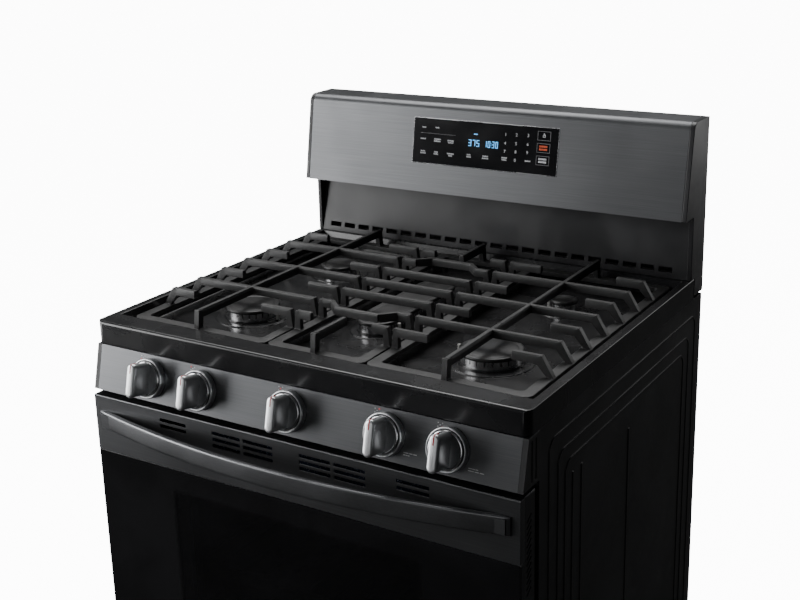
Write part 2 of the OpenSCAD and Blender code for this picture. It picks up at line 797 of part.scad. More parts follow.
// ---------------------------------------------------------------- door

win_w = 460;
win_z = door_bot + 150;
win_gap = 31;
win_h = band_bot - win_gap - win_z;
core_y0 = -door_reach + glass_t + 0.2;
core_y1 = door_back - 5;

module hinge_notch(w) {
    both() box([hinge_x - w / 2, hinge_y - 11, door_bot - 1], [hinge_x + w / 2, 5, hinge_z + 12]);
}

hinge_block = 40;

module door_frame() {
    color([0.12, 0.12, 0.13]) placed() difference() {
        wide(door_hw, core_y0, core_y1, door_bot, door_top - 2);
        wide(door_hw - 26, core_y0 + 3, core_y1 + 1, door_bot + 26, door_top - 20);
        wide(win_w / 2, core_y0 - 1, core_y1, win_z, win_z + win_h);
        wide(door_hw + 1, core_y0 - 1, core_y0 + 10, band_bot - 0.2, door_top);
        hinge_notch(hinge_block + 0.6);
        both() for (z = [door_top - 150:9:door_top - 40]) translate([door_hw - 1.5, -34, z])
            rotate([35, 0, 0]) cube([3, 16, 3]);
    }
}

band_y1 = core_y0 + 9.8;
vent_h = 5.6;

module vent_slot(x0, x1, row) {
    z = door_top - 16 - row * 10;
    box([x0, -door_reach - 1, z - vent_h / 2], [x1, -door_reach + 4, z + vent_h / 2]);
}

module door_band() {
    color([0.4, 0.4, 0.41]) placed() difference() {
        union() {
            wide(door_hw, -door_reach, band_y1, band_bot, door_top - 2);
            wide(door_hw, -door_reach + 2, core_y1, door_top - 2, door_top);
            rod_x(-door_hw, door_hw, -door_reach + 2, door_top - 2, 2);
        }
        wide(door_hw - 2, -door_reach + 2, band_y1 + 1, band_bot + 2, door_top - 2);
        both() {
            for (row = [0, 1, 2]) {
                vent_slot(24, 78, row);
                vent_slot(84, 137, row);
            }
            for (row = [0, 1]) vent_slot(188, 240, row);
        }
    }
}

module door_glass() {
    color([0.03, 0.03, 0.035]) placed()
        wide(door_hw, -door_reach, -door_reach + glass_t, door_bot + 8, band_bot - 0.3);
}

module door_inner_panel() {
    color([0.16, 0.17, 0.22]) placed() difference() {
        wide(door_hw - 20, core_y1 + 0.1, door_back, door_bot + 4, door_top - 6);
        wide(win_w / 2 - 12, -30, 1, win_z + 12, win_z + win_h - 12);
        wide(win_w / 2, -30, door_back - 2, win_z, win_z + win_h);
        hinge_notch(hinge_block + 0.6);
    }
}

module door_inner_glass() {
    color([0.1, 0.12, 0.12]) placed()
        wide(win_w / 2 - 1, core_y1 - 1, door_back - 2.1, win_z + 1, win_z + win_h - 1);
}

bow_r = (handle_half * handle_half + handle_bow * handle_bow) / (2 * handle_bow);
bow_a = asin(handle_half / bow_r);
handle_z = lip_z - 119;

module door_handle() {
    color([0.5, 0.5, 0.51]) placed() {
        intersection() {
            translate([0, bow_r - door_reach - handle_bow - 3, handle_z]) rotate(-90 - bow_a)
                rotate_extrude(angle = 2 * bow_a, $fn = 360) translate([bow_r - handle_t, -handle_h / 2])
                    rounded(handle_t, handle_h, 3);
            wide(handle_half, -door_reach - handle_bow - 10, -door_reach,
                handle_z - handle_h, handle_z + handle_h);
        }
        both() box([handle_half - 26, -door_reach - 8, handle_z - handle_h / 2 + 2],
            [handle_half - 6, -door_reach, handle_z + handle_h / 2 - 2]);
    }
}

module door_hinges() {
    color([0.5, 0.5, 0.52]) placed() both() difference() {
        box([hinge_x - hinge_block / 2, hinge_y - 10.6, door_bot + 0.5],
            [hinge_x + hinge_block / 2, core_y1, hinge_z + 11.6]);
        box([hinge_x - hinge_gap / 2, hinge_y - 8, door_bot - 1], [hinge_x + hinge_gap / 2, 5, hinge_z + 9]);
        rod_x(hinge_x - 30, hinge_x + 30, hinge_y, hinge_z, hinge_pin_r + 0.06);
    }
}

// ---------------------------------------------------------------- drawer

box_hw = frame_hw - 26;
box_y1 = 560;
box_z0 = toe_h + 6;
box_top = drawer_top - 60;

module drawer_front() {
    color([0.4, 0.4, 0.41]) placed() difference() {
        union() {
            wide(door_hw, -door_reach + 3, -12, toe_h, drawer_top);
            wide(door_hw, -door_reach, -door_reach + 4, toe_h + 3, drawer_top - 3);
        }
        wide(door_hw - 2, -door_reach + 5, -11, toe_h + 2, drawer_top - 2);
        wide(180, -door_reach + 12, -6, drawer_top - 3, drawer_top + 1);
    }
}

module drawer_box() {
    color([0.6, 0.6, 0.61]) placed() union() {
        difference() {
            wide(box_hw, -door_reach + 5.1, box_y1, box_z0, box_top);
            wide(box_hw - 2, -door_reach + 7, box_y1 - 2, box_z0 + 2, box_top + 1);
        }
        both() box([box_hw - 0.1, 20, box_z0 + 50], [box_hw + 11, box_y1 - 20, box_z0 + 58]);
    }
}

module drawer_runners() {
    z = box_z0 + 49.6;
    color([0.7, 0.7, 0.71]) placed() both() {
        box([box_hw + 2, 4, z - 6], [skin_x - sheet, body_d - 4, z - 3]);
        box([box_hw + 2, 4, z - 6], [box_hw + 9, body_d - 4, z]);
        box([skin_x - sheet - 3, 4, z - 6], [skin_x - sheet, body_d - 4, z + 30]);
    }
}

// ---------------------------------------------------------------- back guard

end_w = 8;
guard_t = 2;
round_r = 16;

function lean(z) = guard_y + guard_lean * (z - guard_bot) / guard_h;

// the guard's closed outline drawn out along the width, shrunk all round by g
module guard_body(half, g) {
    y = lean(top_z - round_r) + round_r;
    union() {
        along_x(half) polygon([[guard_y + g, guard_bot + g], [y - round_r + g, top_z - round_r],
            [y, top_z - g], [guard_back - g, top_z - g], [guard_back - g, guard_bot + g]]);
        translate([-half, y, top_z - round_r]) rotate([0, 90, 0])
            cylinder(h = 2 * half, r = round_r - g, $fn = 48);
    }
}

module on_guard() {
    a = atan(guard_lean / guard_h);
    translate([0, lean(guard_bot + 92), guard_bot + 92]) rotate([90 - a, 0, 0]) children();
}

module guard_panel() {
    w = hw - end_w - 0.1;
    color([0.42, 0.42, 0.43]) placed() difference() {
        guard_body(w, 0);
        guard_body(w + 1, guard_t);
        wide(w + 1, guard_y + 40, guard_back + 1, guard_bot - 1, guard_bot + 20);
        wide(w + 1, guard_back - 12, guard_back + 1, guard_bot - 1, top_z - 9);
        on_guard() cube([display_w + 0.4, display_h + 0.4, 20], center = true);
    }
}

module display_glass() {
    color([0.02, 0.02, 0.03]) placed() on_guard() union() {
        translate([0, 0, -1.5]) cube([display_w, display_h, 4], center = true);
        translate([0, 0, -3.6]) cube([display_w + 12, display_h + 12, 2], center = true);
    }
}

module guard_end_caps() {
    color([0.1, 0.1, 0.11]) placed() both() union() {
        translate([hw - end_w / 2, 0, 0]) guard_body(end_w / 2, 0);
        box([hw - end_w, cook_back - 16, rim_h + 0.2], [hw, guard_back, guard_bot + 1]);
        box([hw - end_w, cook_back + 2, lip_z + 6], [hw, guard_back, rim_h + 1]);
    }
}

module rear_cover() {
    y1 = body_d + cover_t;
    z1 = top_z - 12;
    color([0.3, 0.3, 0.31]) placed() difference() {
        wide(hw - 4, body_d + 0.2, y1, lip_z + 6, z1);
        wide(hw - 6, body_d - 1, y1 - sheet, lip_z + 5, z1 - 2);
        for (x = [-300:30:300]) box([x, y1 - 4, rim_h + 60], [x + 8, y1 + 1, rim_h + 90]);
    }
}

guard_foot_y = recess_y1 + 6;

module lower_guard() {
    z0 = rim_h + 0.2;
    z1 = guard_bot - 0.2;
    y1 = cook_back;
    color([0.14, 0.14, 0.15]) placed() difference() {
        along_x(hw - end_w - 0.1) polygon([[guard_foot_y, z0], [y1 - 4, z1 - 40], [y1, z1 - 14], [y1, z1],
            [y1 + 20, z1], [y1 + 20, z1 - 2], [y1 + 2, z1 - 2], [y1 + 2, z1 - 14], [y1 - 2, z1 - 40],
            [guard_foot_y + 4, z0 + 2], [y1 + 20, z0 + 2], [y1 + 20, z0]]);
        for (x = [-352:32:330])
            box([x, guard_foot_y - 1, z0 + 9], [x + 24, guard_foot_y + 9, z0 + 18]);
    }
}

module control_board() {
    color([0.1, 0.35, 0.2]) placed() {
        wide(120, guard_back - 22, guard_back - 20, guard_bot + 40, guard_bot + 130);
        for (x = [-90, 90], z = [guard_bot + 50, guard_bot + 118])
            translate([x, guard_back - 20.1, z]) rotate([-90, 0, 0]) cylinder(h = 20.3, r = 4, $fn = 24);
        box([-40, guard_back - 40, guard_bot + 60], [20, guard_back - 21.9, guard_bot + 100]);
    }
}

module cord_gland() {
    color([0.08, 0.08, 0.08]) placed() translate([gland_x, body_d - sheet, gland_z])
        rotate([90, 0, 0]) difference() {
        union() {
            translate([0, 0, -8]) cylinder(h = 7.9, r = gland_r + 4, $fn = 48);
            translate([0, 0, -1]) cylinder(h = 12, r = gland_r, $fn = 48);
        }
        translate([0, 0, -9]) cylinder(h = 30, r = 5, $fn = 48);
    }
}

side_panel_left();
side_panel_right();
back_panel();
base_pan();
leveling_feet();
oven_liner();
oven_floor();
oven_insulation();
front_frame();
door_gasket();
rack_lower();
rack_upper();
bake_burner();
broil_burner();
oven_lamp();
temperature_sensor();
cooktop();
manifold_pipe();
gas_valves();
gas_regulator();
burner_bases();
igniters();
cap_front_left();
cap_front_right();
cap_rear_left();
cap_rear_right();
cap_centre();
grate_left();
grate_centre();
grate_right();
control_panel();
panel_end_caps();
knob_bezels();
knob_1();
knob_2();
knob_3();
knob_4();
knob_5();
stem_1();
stem_2();
stem_3();
stem_4();
stem_5();
door_frame();
door_band();
door_glass();
door_inner_panel();
door_inner_glass();
door_handle();
door_hinges();
drawer_front();
drawer_box();
drawer_runners();
guard_panel();
display_glass();
guard_end_caps();
rear_cover();
lower_guard();
control_board();
cord_gland();
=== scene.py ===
"""Looks for the freestanding gas range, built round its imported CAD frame. All lengths are in metres."""

import json
import math

import bmesh
import bpy
from mathutils import Matrix, Vector

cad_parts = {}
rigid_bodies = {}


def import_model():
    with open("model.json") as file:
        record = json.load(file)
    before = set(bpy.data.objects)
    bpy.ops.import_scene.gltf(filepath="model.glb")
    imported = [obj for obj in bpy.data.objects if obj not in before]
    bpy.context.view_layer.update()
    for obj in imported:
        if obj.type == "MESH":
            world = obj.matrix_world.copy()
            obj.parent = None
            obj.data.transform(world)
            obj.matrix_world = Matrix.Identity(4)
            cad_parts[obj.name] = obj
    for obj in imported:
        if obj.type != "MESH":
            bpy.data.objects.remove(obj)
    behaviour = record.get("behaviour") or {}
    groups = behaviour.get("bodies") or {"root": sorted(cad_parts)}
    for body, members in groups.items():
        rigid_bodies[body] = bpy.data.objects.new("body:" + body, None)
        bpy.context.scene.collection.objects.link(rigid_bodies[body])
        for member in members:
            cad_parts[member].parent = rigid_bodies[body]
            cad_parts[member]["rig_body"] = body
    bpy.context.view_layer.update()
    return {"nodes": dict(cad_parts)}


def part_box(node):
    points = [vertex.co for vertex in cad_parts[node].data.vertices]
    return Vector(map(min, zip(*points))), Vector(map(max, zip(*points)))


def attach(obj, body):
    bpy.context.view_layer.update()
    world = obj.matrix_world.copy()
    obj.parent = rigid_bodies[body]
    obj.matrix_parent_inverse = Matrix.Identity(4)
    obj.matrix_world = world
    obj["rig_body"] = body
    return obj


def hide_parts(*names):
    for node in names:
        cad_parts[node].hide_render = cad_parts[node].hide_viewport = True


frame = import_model()
NODES = frame["nodes"]
MM = 0.001


# ------------------------------------------------------------------ shader helpers


def put(tree, kind, inputs=None, **settings):
    """A node of that kind in the tree, with its settings and its unlinked inputs filled in."""
    node = tree.nodes.new(kind)
    for key, value in settings.items():
        setattr(node, key, value)
    for key, value in (inputs or {}).items():
        node.inputs[key].default_value = value
    return node


def new_group(name, inputs, outputs):
    """An empty shader group with named inputs (label, default) and number outputs."""
    tree = bpy.data.node_groups.new(name, "ShaderNodeTree")
    for label, value in inputs:
        kind = "NodeSocketVector" if isinstance(value, tuple) else "NodeSocketFloat"
        tree.interface.new_socket(label, in_out="INPUT", socket_type=kind).default_value = value
    for label in outputs:
        tree.interface.new_socket(label, in_out="OUTPUT", socket_type="NodeSocketFloat")
    return tree, tree.nodes.new("NodeGroupInput"), tree.nodes.new("NodeGroupOutput")


def object_place(tree):
    """Each point's place in the piece's own space, which is the shared frame."""
    return put(tree, "ShaderNodeTexCoord").outputs["Object"]


def brushed_grain_group():
    """Long fine scratches: Stretch is how many times they repeat per metre along each axis."""
    tree, given, result = new_group(
        "brushed_grain", [("Stretch", (8.0, 900.0, 900.0)), ("Broad", 0.35)], ["Tone", "Height"]
    )
    scaled = put(tree, "ShaderNodeVectorMath", operation="MULTIPLY")
    tree.links.new(object_place(tree), scaled.inputs[0])
    tree.links.new(given.outputs["Stretch"], scaled.inputs[1])
    fine = put(tree, "ShaderNodeTexNoise", {"Scale": 1.0, "Detail": 2.0, "Roughness": 0.6})
    broad = put(tree, "ShaderNodeTexNoise", {"Scale": 0.17, "Detail": 2.0, "Roughness": 0.5})
    tone = put(tree, "ShaderNodeMix")
    for noise in (fine, broad):
        tree.links.new(scaled.outputs[0], noise.inputs["Vector"])
    tree.links.new(given.outputs["Broad"], tone.inputs["Factor"])
    tree.links.new(fine.outputs[0], tone.inputs[2])
    tree.links.new(broad.outputs[0], tone.inputs[3])
    spread = put(tree, "ShaderNodeMapRange", {"From Min": 0.3, "From Max": 0.7})
    tree.links.new(tone.outputs[0], spread.inputs["Value"])
    tree.links.new(spread.outputs[0], result.inputs["Tone"])
    tree.links.new(fine.outputs[0], result.inputs["Height"])
    return tree


def patches_group():
    """Soft uneven patches, as wiping and handling leave them."""
    tree, given, result = new_group("wiped_patches", [("Size", 9.0), ("Low", 0.38), ("High", 0.66)], ["Value"])
    noise = put(tree, "ShaderNodeTexNoise", {"Detail": 4.0, "Roughness": 0.55, "Distortion": 0.4})
    spread = put(tree, "ShaderNodeMapRange", interpolation_type="SMOOTHSTEP")
    tree.links.new(object_place(tree), noise.inputs["Vector"])
    tree.links.new(given.outputs["Size"], noise.inputs["Scale"])
    tree.links.new(noise.outputs[0], spread.inputs["Value"])
    tree.links.new(given.outputs["Low"], spread.inputs["From Min"])
    tree.links.new(given.outputs["High"], spread.inputs["From Max"])
    tree.links.new(spread.outputs[0], result.inputs["Value"])
    return tree


def fine_pits_group():
    """The small relief of enamel, moulded plastic or a sand casting."""
    tree, given, result = new_group("fine_pits", [("Scale", 400.0), ("Grit", 0.3)], ["Height", "Tone"])
    swell = put(tree, "ShaderNodeTexNoise", {"Detail": 1.0})
    grit = put(tree, "ShaderNodeTexVoronoi", feature="F1")
    finer = put(tree, "ShaderNodeMath", operation="MULTIPLY")
    finer.inputs[1].default_value = 2.6
    both = put(tree, "ShaderNodeMix")
    for texture in (swell, grit):
        tree.links.new(object_place(tree), texture.inputs["Vector"])
    tree.links.new(given.outputs["Scale"], swell.inputs["Scale"])
    tree.links.new(given.outputs["Scale"], finer.inputs[0])
    tree.links.new(finer.outputs[0], grit.inputs["Scale"])
    tree.links.new(given.outputs["Grit"], both.inputs["Factor"])
    tree.links.new(swell.outputs[0], both.inputs[2])
    tree.links.new(grit.outputs["Distance"], both.inputs[3])
    tree.links.new(both.outputs[0], result.inputs["Height"])
    tree.links.new(grit.outputs["Distance"], result.inputs["Tone"])
    return tree


def flecks_group():
    """Scattered light spots, as in speckled oven enamel."""
    tree, given, result = new_group("flecks", [("Scale", 260.0), ("Size", 0.16)], ["Mask"])
    cells = put(tree, "ShaderNodeTexVoronoi", feature="F1")
    spot = put(tree, "ShaderNodeMath", operation="LESS_THAN")
    tree.links.new(object_place(tree), cells.inputs["Vector"])
    tree.links.new(given.outputs["Scale"], cells.inputs["Scale"])
    tree.links.new(cells.outputs["Distance"], spot.inputs[0])
    tree.links.new(given.outputs["Size"], spot.inputs[1])
    tree.links.new(spot.outputs[0], result.inputs["Mask"])
    return tree


def rubbed_edges_group():
    """Where the finish is worn thin on outer edges."""
    tree, given, result = new_group("rubbed_edges", [("Start", 0.505), ("Full", 0.56), ("Breakup", 60.0)], ["Mask"])
    geometry = put(tree, "ShaderNodeNewGeometry")
    edge = put(tree, "ShaderNodeMapRange")
    noise = put(tree, "ShaderNodeTexNoise", {"Detail": 3.0})
    mask = put(tree, "ShaderNodeMath", operation="MULTIPLY")
    tree.links.new(geometry.outputs["Pointiness"], edge.inputs["Value"])
    tree.links.new(given.outputs["Start"], edge.inputs["From Min"])
    tree.links.new(given.outputs["Full"], edge.inputs["From Max"])
    tree.links.new(object_place(tree), noise.inputs["Vector"])
    tree.links.new(given.outputs["Breakup"], noise.inputs["Scale"])
    tree.links.new(edge.outputs[0], mask.inputs[0])
    tree.links.new(noise.outputs[0], mask.inputs[1])
    tree.links.new(mask.outputs[0], result.inputs["Mask"])
    return tree


def settled_dust_group():
    """A thin film of dust on faces that look up."""
    tree, given, result = new_group("settled_dust", [("Scale", 14.0), ("Amount", 0.1)], ["Mask"])
    geometry = put(tree, "ShaderNodeNewGeometry")
    axes = put(tree, "ShaderNodeSeparateXYZ")
    upward = put(tree, "ShaderNodeMapRange", {"From Min": 0.7, "From Max": 1.0})
    noise = put(tree, "ShaderNodeTexNoise", {"Detail": 5.0, "Roughness": 0.65})
    patch = put(tree, "ShaderNodeMath", operation="MULTIPLY")
    mask = put(tree, "ShaderNodeMath", operation="MULTIPLY")
    tree.links.new(geometry.outputs["Normal"], axes.inputs[0])
    tree.links.new(axes.outputs["Z"], upward.inputs["Value"])
    tree.links.new(object_place(tree), noise.inputs["Vector"])
    tree.links.new(given.outputs["Scale"], noise.inputs["Scale"])
    tree.links.new(upward.outputs[0], patch.inputs[0])
    tree.links.new(noise.outputs[0], patch.inputs[1])
    tree.links.new(patch.outputs[0], mask.inputs[0])
    tree.links.new(given.outputs["Amount"], mask.inputs[1])
    tree.links.new(mask.outputs[0], result.inputs["Mask"])
    return tree


GROUPS = {
    "grain": brushed_grain_group(),
    "patches": patches_group(),
    "pits": fine_pits_group(),
    "flecks": flecks_group(),
    "rubbed": rubbed_edges_group(),
    "dust": settled_dust_group(),
}


def use_group(tree, key, output, **values):
    """The named output of one of the shared groups, placed in a material with its own values."""
    node = tree.nodes.new("ShaderNodeGroup")
    node.node_tree = GROUPS[key]
    for label, value in values.items():
        node.inputs[label].default_value = value
    return node.outputs[output]


def blended(tree, factor, low, high):
    """A colour between low and high, either of which may be a fixed colour or another node's output."""
    mix = put(tree, "ShaderNodeMix", data_type="RGBA")
    tree.links.new(factor, mix.inputs[0])
    for value, socket in ((low, mix.inputs[6]), (high, mix.inputs[7])):
        if isinstance(value, tuple):
            socket.default_value = (*value, 1.0)
        else:
            tree.links.new(value, socket)
    return mix.outputs[2]


def finish(name, dark, light, rough, tone, relief=None, metal=0.0, specular=0.5, coat=None,
           fleck=None, rubbed=None, dust=0.0, patch_size=9.0):
    """A material: tone and relief name a shared group with its values, rough is its range of roughness."""
    material = bpy.data.materials.new(name)
    material.use_nodes = True
    tree = material.node_tree
    shader = tree.nodes["Principled BSDF"]
    shader.inputs["Metallic"].default_value = metal
    shader.inputs["Specular IOR Level"].default_value = specular
    if coat:
        shader.inputs["Coat Weight"].default_value = coat[0]
        shader.inputs["Coat Roughness"].default_value = coat[1]
    key, output, values = tone
    colour = blended(tree, use_group(tree, key, output, **values), dark, light)
    if fleck:
        mask = use_group(tree, "flecks", "Mask", Scale=fleck[1], Size=fleck[2])
        colour = blended(tree, mask, colour, fleck[0])
    if rubbed:
        colour = blended(tree, use_group(tree, "rubbed", "Mask", Full=rubbed[1]), colour, rubbed[0])
    if dust:
        colour = blended(tree, use_group(tree, "dust", "Mask", Amount=dust), colour, (0.42, 0.41, 0.39))
    tree.links.new(colour, shader.inputs["Base Color"])
    spread = put(tree, "ShaderNodeMapRange", {"To Min": rough[0], "To Max": rough[1]})
    tree.links.new(use_group(tree, "patches", "Value", Size=patch_size), spread.inputs["Value"])
    tree.links.new(spread.outputs[0], shader.inputs["Roughness"])
    if relief:
        key, values, depth, strength = relief
        bump = put(tree, "ShaderNodeBump", {"Distance": depth, "Strength": strength})
        tree.links.new(use_group(tree, key, "Height", **values), bump.inputs["Height"])
        tree.links.new(bump.outputs[0], shader.inputs["Normal"])
    return material


def glass_box_mask(tree, centre, half, soft):
    """1 inside a rectangle seen from the front, falling to 0 over the soft edge."""
    axes = put(tree, "ShaderNodeSeparateXYZ")
    tree.links.new(object_place(tree), axes.inputs[0])
    sides = []
    for axis, middle, reach in (("X", centre[0], half[0]), ("Z", centre[1], half[1])):
        offset = put(tree, "ShaderNodeMath", operation="SUBTRACT")
        offset.inputs[1].default_value = middle
        size = put(tree, "ShaderNodeMath", operation="ABSOLUTE")
        inside = put(tree, "ShaderNodeMapRange", {"From Min": reach, "From Max": reach - soft},
                     interpolation_type="SMOOTHSTEP")
        tree.links.new(axes.outputs[axis], offset.inputs[0])
        tree.links.new(offset.outputs[0], size.inputs[0])
        tree.links.new(size.outputs[0], inside.inputs["Value"])
        sides.append(inside.outputs[0])
    both = put(tree, "ShaderNodeMath", operation="MULTIPLY")
    tree.links.new(sides[0], both.inputs[0])
    tree.links.new(sides[1], both.inputs[1])
    return both.outputs[0]


FINE_X = {"Stretch": (9.0, 1500.0, 1500.0), "Broad": 0.12}
PEEL = {"Scale": 330.0, "Grit": 0.0}
CAST = {"Scale": 700.0, "Grit": 0.55}
MOULD = {"Scale": 1500.0, "Grit": 0.3}
GRAIN = ("grain", "Tone", FINE_X)
BLOTCH = ("patches", "Value", {"Size": 6.0})

MATERIALS = {
    "black_stainless": finish("black_stainless", (0.105, 0.107, 0.111), (0.135, 0.137, 0.142), (0.38, 0.44), GRAIN,
                              ("grain", FINE_X, 0.00003, 0.25), metal=1.0, patch_size=5.0),
    "panel_black": finish("panel_black", (0.012, 0.012, 0.013), (0.021, 0.021, 0.023), (0.30, 0.42), BLOTCH,
                          ("pits", PEEL, 0.00010, 0.25), dust=0.03),
    "enamel_black": finish("enamel_black", (0.007, 0.007, 0.008), (0.014, 0.014, 0.015), (0.22, 0.30), BLOTCH,
                           ("pits", PEEL, 0.00006, 0.12), coat=(0.15, 0.12), dust=0.05),
    "cap_enamel": finish("cap_enamel", (0.010, 0.010, 0.010), (0.022, 0.022, 0.022), (0.34, 0.46),
                         ("pits", "Tone", CAST), ("pits", MOULD, 0.00006, 0.4), dust=0.04),
    "enamel_blue": finish("enamel_blue", (0.020, 0.024, 0.040), (0.034, 0.040, 0.062), (0.16, 0.26), BLOTCH,
                          ("pits", PEEL, 0.00010, 0.25), fleck=((0.42, 0.45, 0.52), 420.0, 0.17)),
    "galvanised": finish("galvanised", (0.40, 0.41, 0.42), (0.58, 0.59, 0.60), (0.34, 0.52),
                         ("pits", "Tone", {"Scale": 34.0, "Grit": 0.8}), ("pits", PEEL, 0.00008, 0.25),
                         metal=1.0, patch_size=26.0),
    "cast_iron": finish("cast_iron", (0.010, 0.010, 0.010), (0.024, 0.024, 0.024), (0.42, 0.56),
                        ("pits", "Tone", CAST), ("pits", CAST, 0.00022, 0.55), specular=0.55,
                        rubbed=((0.07, 0.07, 0.07), 0.60), dust=0.05),
    "aluminium": finish("aluminium", (0.52, 0.52, 0.53), (0.76, 0.76, 0.77), (0.20, 0.34),
                        ("pits", "Tone", {"Scale": 180.0, "Grit": 0.5}), ("pits", MOULD, 0.00008, 0.4), metal=1.0),
    "chrome": finish("chrome", (0.50, 0.50, 0.51), (0.66, 0.66, 0.67), (0.10, 0.20), BLOTCH,
                     ("pits", PEEL, 0.00003, 0.2), metal=1.0, patch_size=22.0),
    "knob_silver": finish("knob_silver", (0.64, 0.65, 0.66), (0.74, 0.75, 0.76), (0.38, 0.44),
                          ("grain", "Tone", {"Stretch": (900.0, 900.0, 60.0), "Broad": 0.2}),
                          ("pits", MOULD, 0.00002, 0.2), metal=1.0, patch_size=40.0),
    "knob_mirror": finish("knob_mirror", (0.40, 0.40, 0.41), (0.52, 0.52, 0.53), (0.14, 0.20), BLOTCH,
                          ("pits", PEEL, 0.00003, 0.2), metal=1.0, patch_size=40.0),
    "brass": finish("brass", (0.52, 0.38, 0.17), (0.68, 0.52, 0.26), (0.26, 0.42),
                    ("grain", "Tone", {"Stretch": (700.0, 700.0, 700.0), "Broad": 0.5}), metal=1.0, patch_size=60.0),
    "zinc": finish("zinc", (0.38, 0.38, 0.38), (0.50, 0.50, 0.51), (0.38, 0.55),
                   ("pits", "Tone", {"Scale": 120.0, "Grit": 0.6}), ("pits", CAST, 0.0001, 0.4), metal=1.0),
    "display_black": finish("display_black", (0.004, 0.004, 0.005), (0.008, 0.008, 0.009), (0.16, 0.22), BLOTCH,
                            ("pits", PEEL, 0.00002, 0.1), specular=0.3),
    "lamp_glass": finish("lamp_glass", (0.70, 0.70, 0.66), (0.85, 0.85, 0.80), (0.06, 0.12),
                         ("patches", "Value", {"Size": 60.0}), ("pits", PEEL, 0.0001, 0.3)),
    "ceramic": finish("ceramic", (0.62, 0.61, 0.58), (0.78, 0.77, 0.74), (0.30, 0.45),
                      ("patches", "Value", {"Size": 300.0}), ("pits", MOULD, 0.00004, 0.4)),
    "glass_wool": finish("glass_wool", (0.52, 0.44, 0.22), (0.76, 0.70, 0.46), (0.85, 0.98),
                         ("grain", "Tone", {"Stretch": (160.0, 420.0, 160.0), "Broad": 0.5}),
                         ("grain", {"Stretch": (160.0, 420.0, 160.0), "Broad": 0.5}, 0.003, 0.9)),
    "gasket": finish("gasket", (0.05, 0.05, 0.052), (0.16, 0.16, 0.165), (0.7, 0.85),
                     ("grain", "Tone", {"Stretch": (700.0, 300.0, 700.0), "Broad": 0.1}),
                     ("grain", {"Stretch": (700.0, 300.0, 700.0), "Broad": 0.1}, 0.0006, 0.8)),
    "board": finish("board", (0.014, 0.10, 0.045), (0.03, 0.17, 0.07), (0.22, 0.36),
                    ("grain", "Tone", {"Stretch": (260.0, 260.0, 90.0), "Broad": 0.6}),
                    ("grain", {"Stretch": (260.0, 260.0, 90.0), "Broad": 0.6}, 0.0002, 0.4)),
    "black_plastic": finish("black_plastic", (0.010, 0.010, 0.011), (0.018, 0.018, 0.020), (0.36, 0.50), BLOTCH,
                            ("pits", MOULD, 0.00008, 0.5), dust=0.03),
    "handle_metal": finish("handle_metal", (0.150, 0.152, 0.158), (0.190, 0.193, 0.200), (0.36, 0.42), GRAIN,
                           ("grain", FINE_X, 0.00003, 0.2), metal=1.0),
    "frame_metal": finish("frame_metal", (0.34, 0.34, 0.35), (0.46, 0.46, 0.47), (0.22, 0.32), GRAIN,
                          ("grain", FINE_X, 0.00003, 0.3), metal=1.0),
    "knob_red": finish("knob_red", (0.36, 0.012, 0.016), (0.52, 0.024, 0.028), (0.30, 0.42),
                       ("patches", "Value", {"Size": 300.0}), ("pits", MOULD, 0.00003, 0.3)),
    "print_pale": finish("print_pale", (0.40, 0.40, 0.40), (0.55, 0.55, 0.55), (0.42, 0.55),
                         ("patches", "Value", {"Size": 500.0}), ("pits", MOULD, 0.00002, 0.3)),
    "print_red": finish("print_red", (0.40, 0.05, 0.05), (0.56, 0.08, 0.08), (0.42, 0.55),
                        ("patches", "Value", {"Size": 500.0}), ("pits", MOULD, 0.00002, 0.3)),
}


def window_glass(name, tint, clear):
    """Tinted glass that lets part of the light through, with faint wiping marks."""
    material = finish(name, tint, tuple(1.6 * c for c in tint), (0.03, 0.07), BLOTCH, ("pits", PEEL, 0.00002, 0.1))
    tree = material.node_tree
    spread = put(tree, "ShaderNodeMapRange", {"To Min": 1 - clear, "To Max": 1.08 - clear})
    tree.links.new(use_group(tree, "patches", "Value", Size=7.0), spread.inputs["Value"])
    tree.links.new(spread.outputs[0], tree.nodes["Principled BSDF"].inputs["Alpha"])
    return material


def door_glass_material(centre, half):
    """Black glass with a printed border; the window inside it lets the oven show faintly."""
    material = finish("black_glass", (0.004, 0.004, 0.0045), (0.008, 0.008, 0.009), (0.035, 0.07), BLOTCH,
                      ("pits", PEEL, 0.00002, 0.08), specular=0.5)
    tree = material.node_tree
    spread = put(tree, "ShaderNodeMapRange", {"To Min": 1.0, "To Max": 0.45})
    tree.links.new(glass_box_mask(tree, centre, half, 0.012), spread.inputs["Value"])
    tree.links.new(spread.outputs[0], tree.nodes["Principled BSDF"].inputs["Alpha"])
    return material


def lit_print(name, colour, strength):
    """Display print that glows a little, uneven as lit segments are."""
    material = finish(name, tuple(0.5 * c for c in colour), colour, (0.3, 0.4), ("patches", "Value", {"Size": 400.0}))
    tree = material.node_tree
    shader = tree.nodes["Principled BSDF"]
    glow = blended(tree, use_group(tree, "patches", "Value", Size=350.0), tuple(0.75 * c for c in colour), colour)
    tree.links.new(glow, shader.inputs["Emission Color"])
    shader.inputs["Emission Strength"].default_value = strength
    return material


window_low, window_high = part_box("door_inner_glass")
MATERIALS["window_glass"] = window_glass("window_glass", (0.010, 0.012, 0.012), 0.65)
MATERIALS["black_glass"] = door_glass_material(
    (0.0, (window_low.z + window_high.z) / 2),
    ((window_high.x - window_low.x) / 2, (window_high.z - window_low.z) / 2),
)
MATERIALS["digit_blue"] = lit_print("digit_blue", (0.10, 0.42, 0.85), 2.2)
MATERIALS["digit_white"] = lit_print("digit_white", (0.55, 0.56, 0.58), 0.5)
MATERIALS["digit_grey"] = lit_print("digit_grey", (0.22, 0.22, 0.23), 0.18)
MATERIALS["digit_red"] = lit_print("digit_red", (0.70, 0.10, 0.03), 0.5)


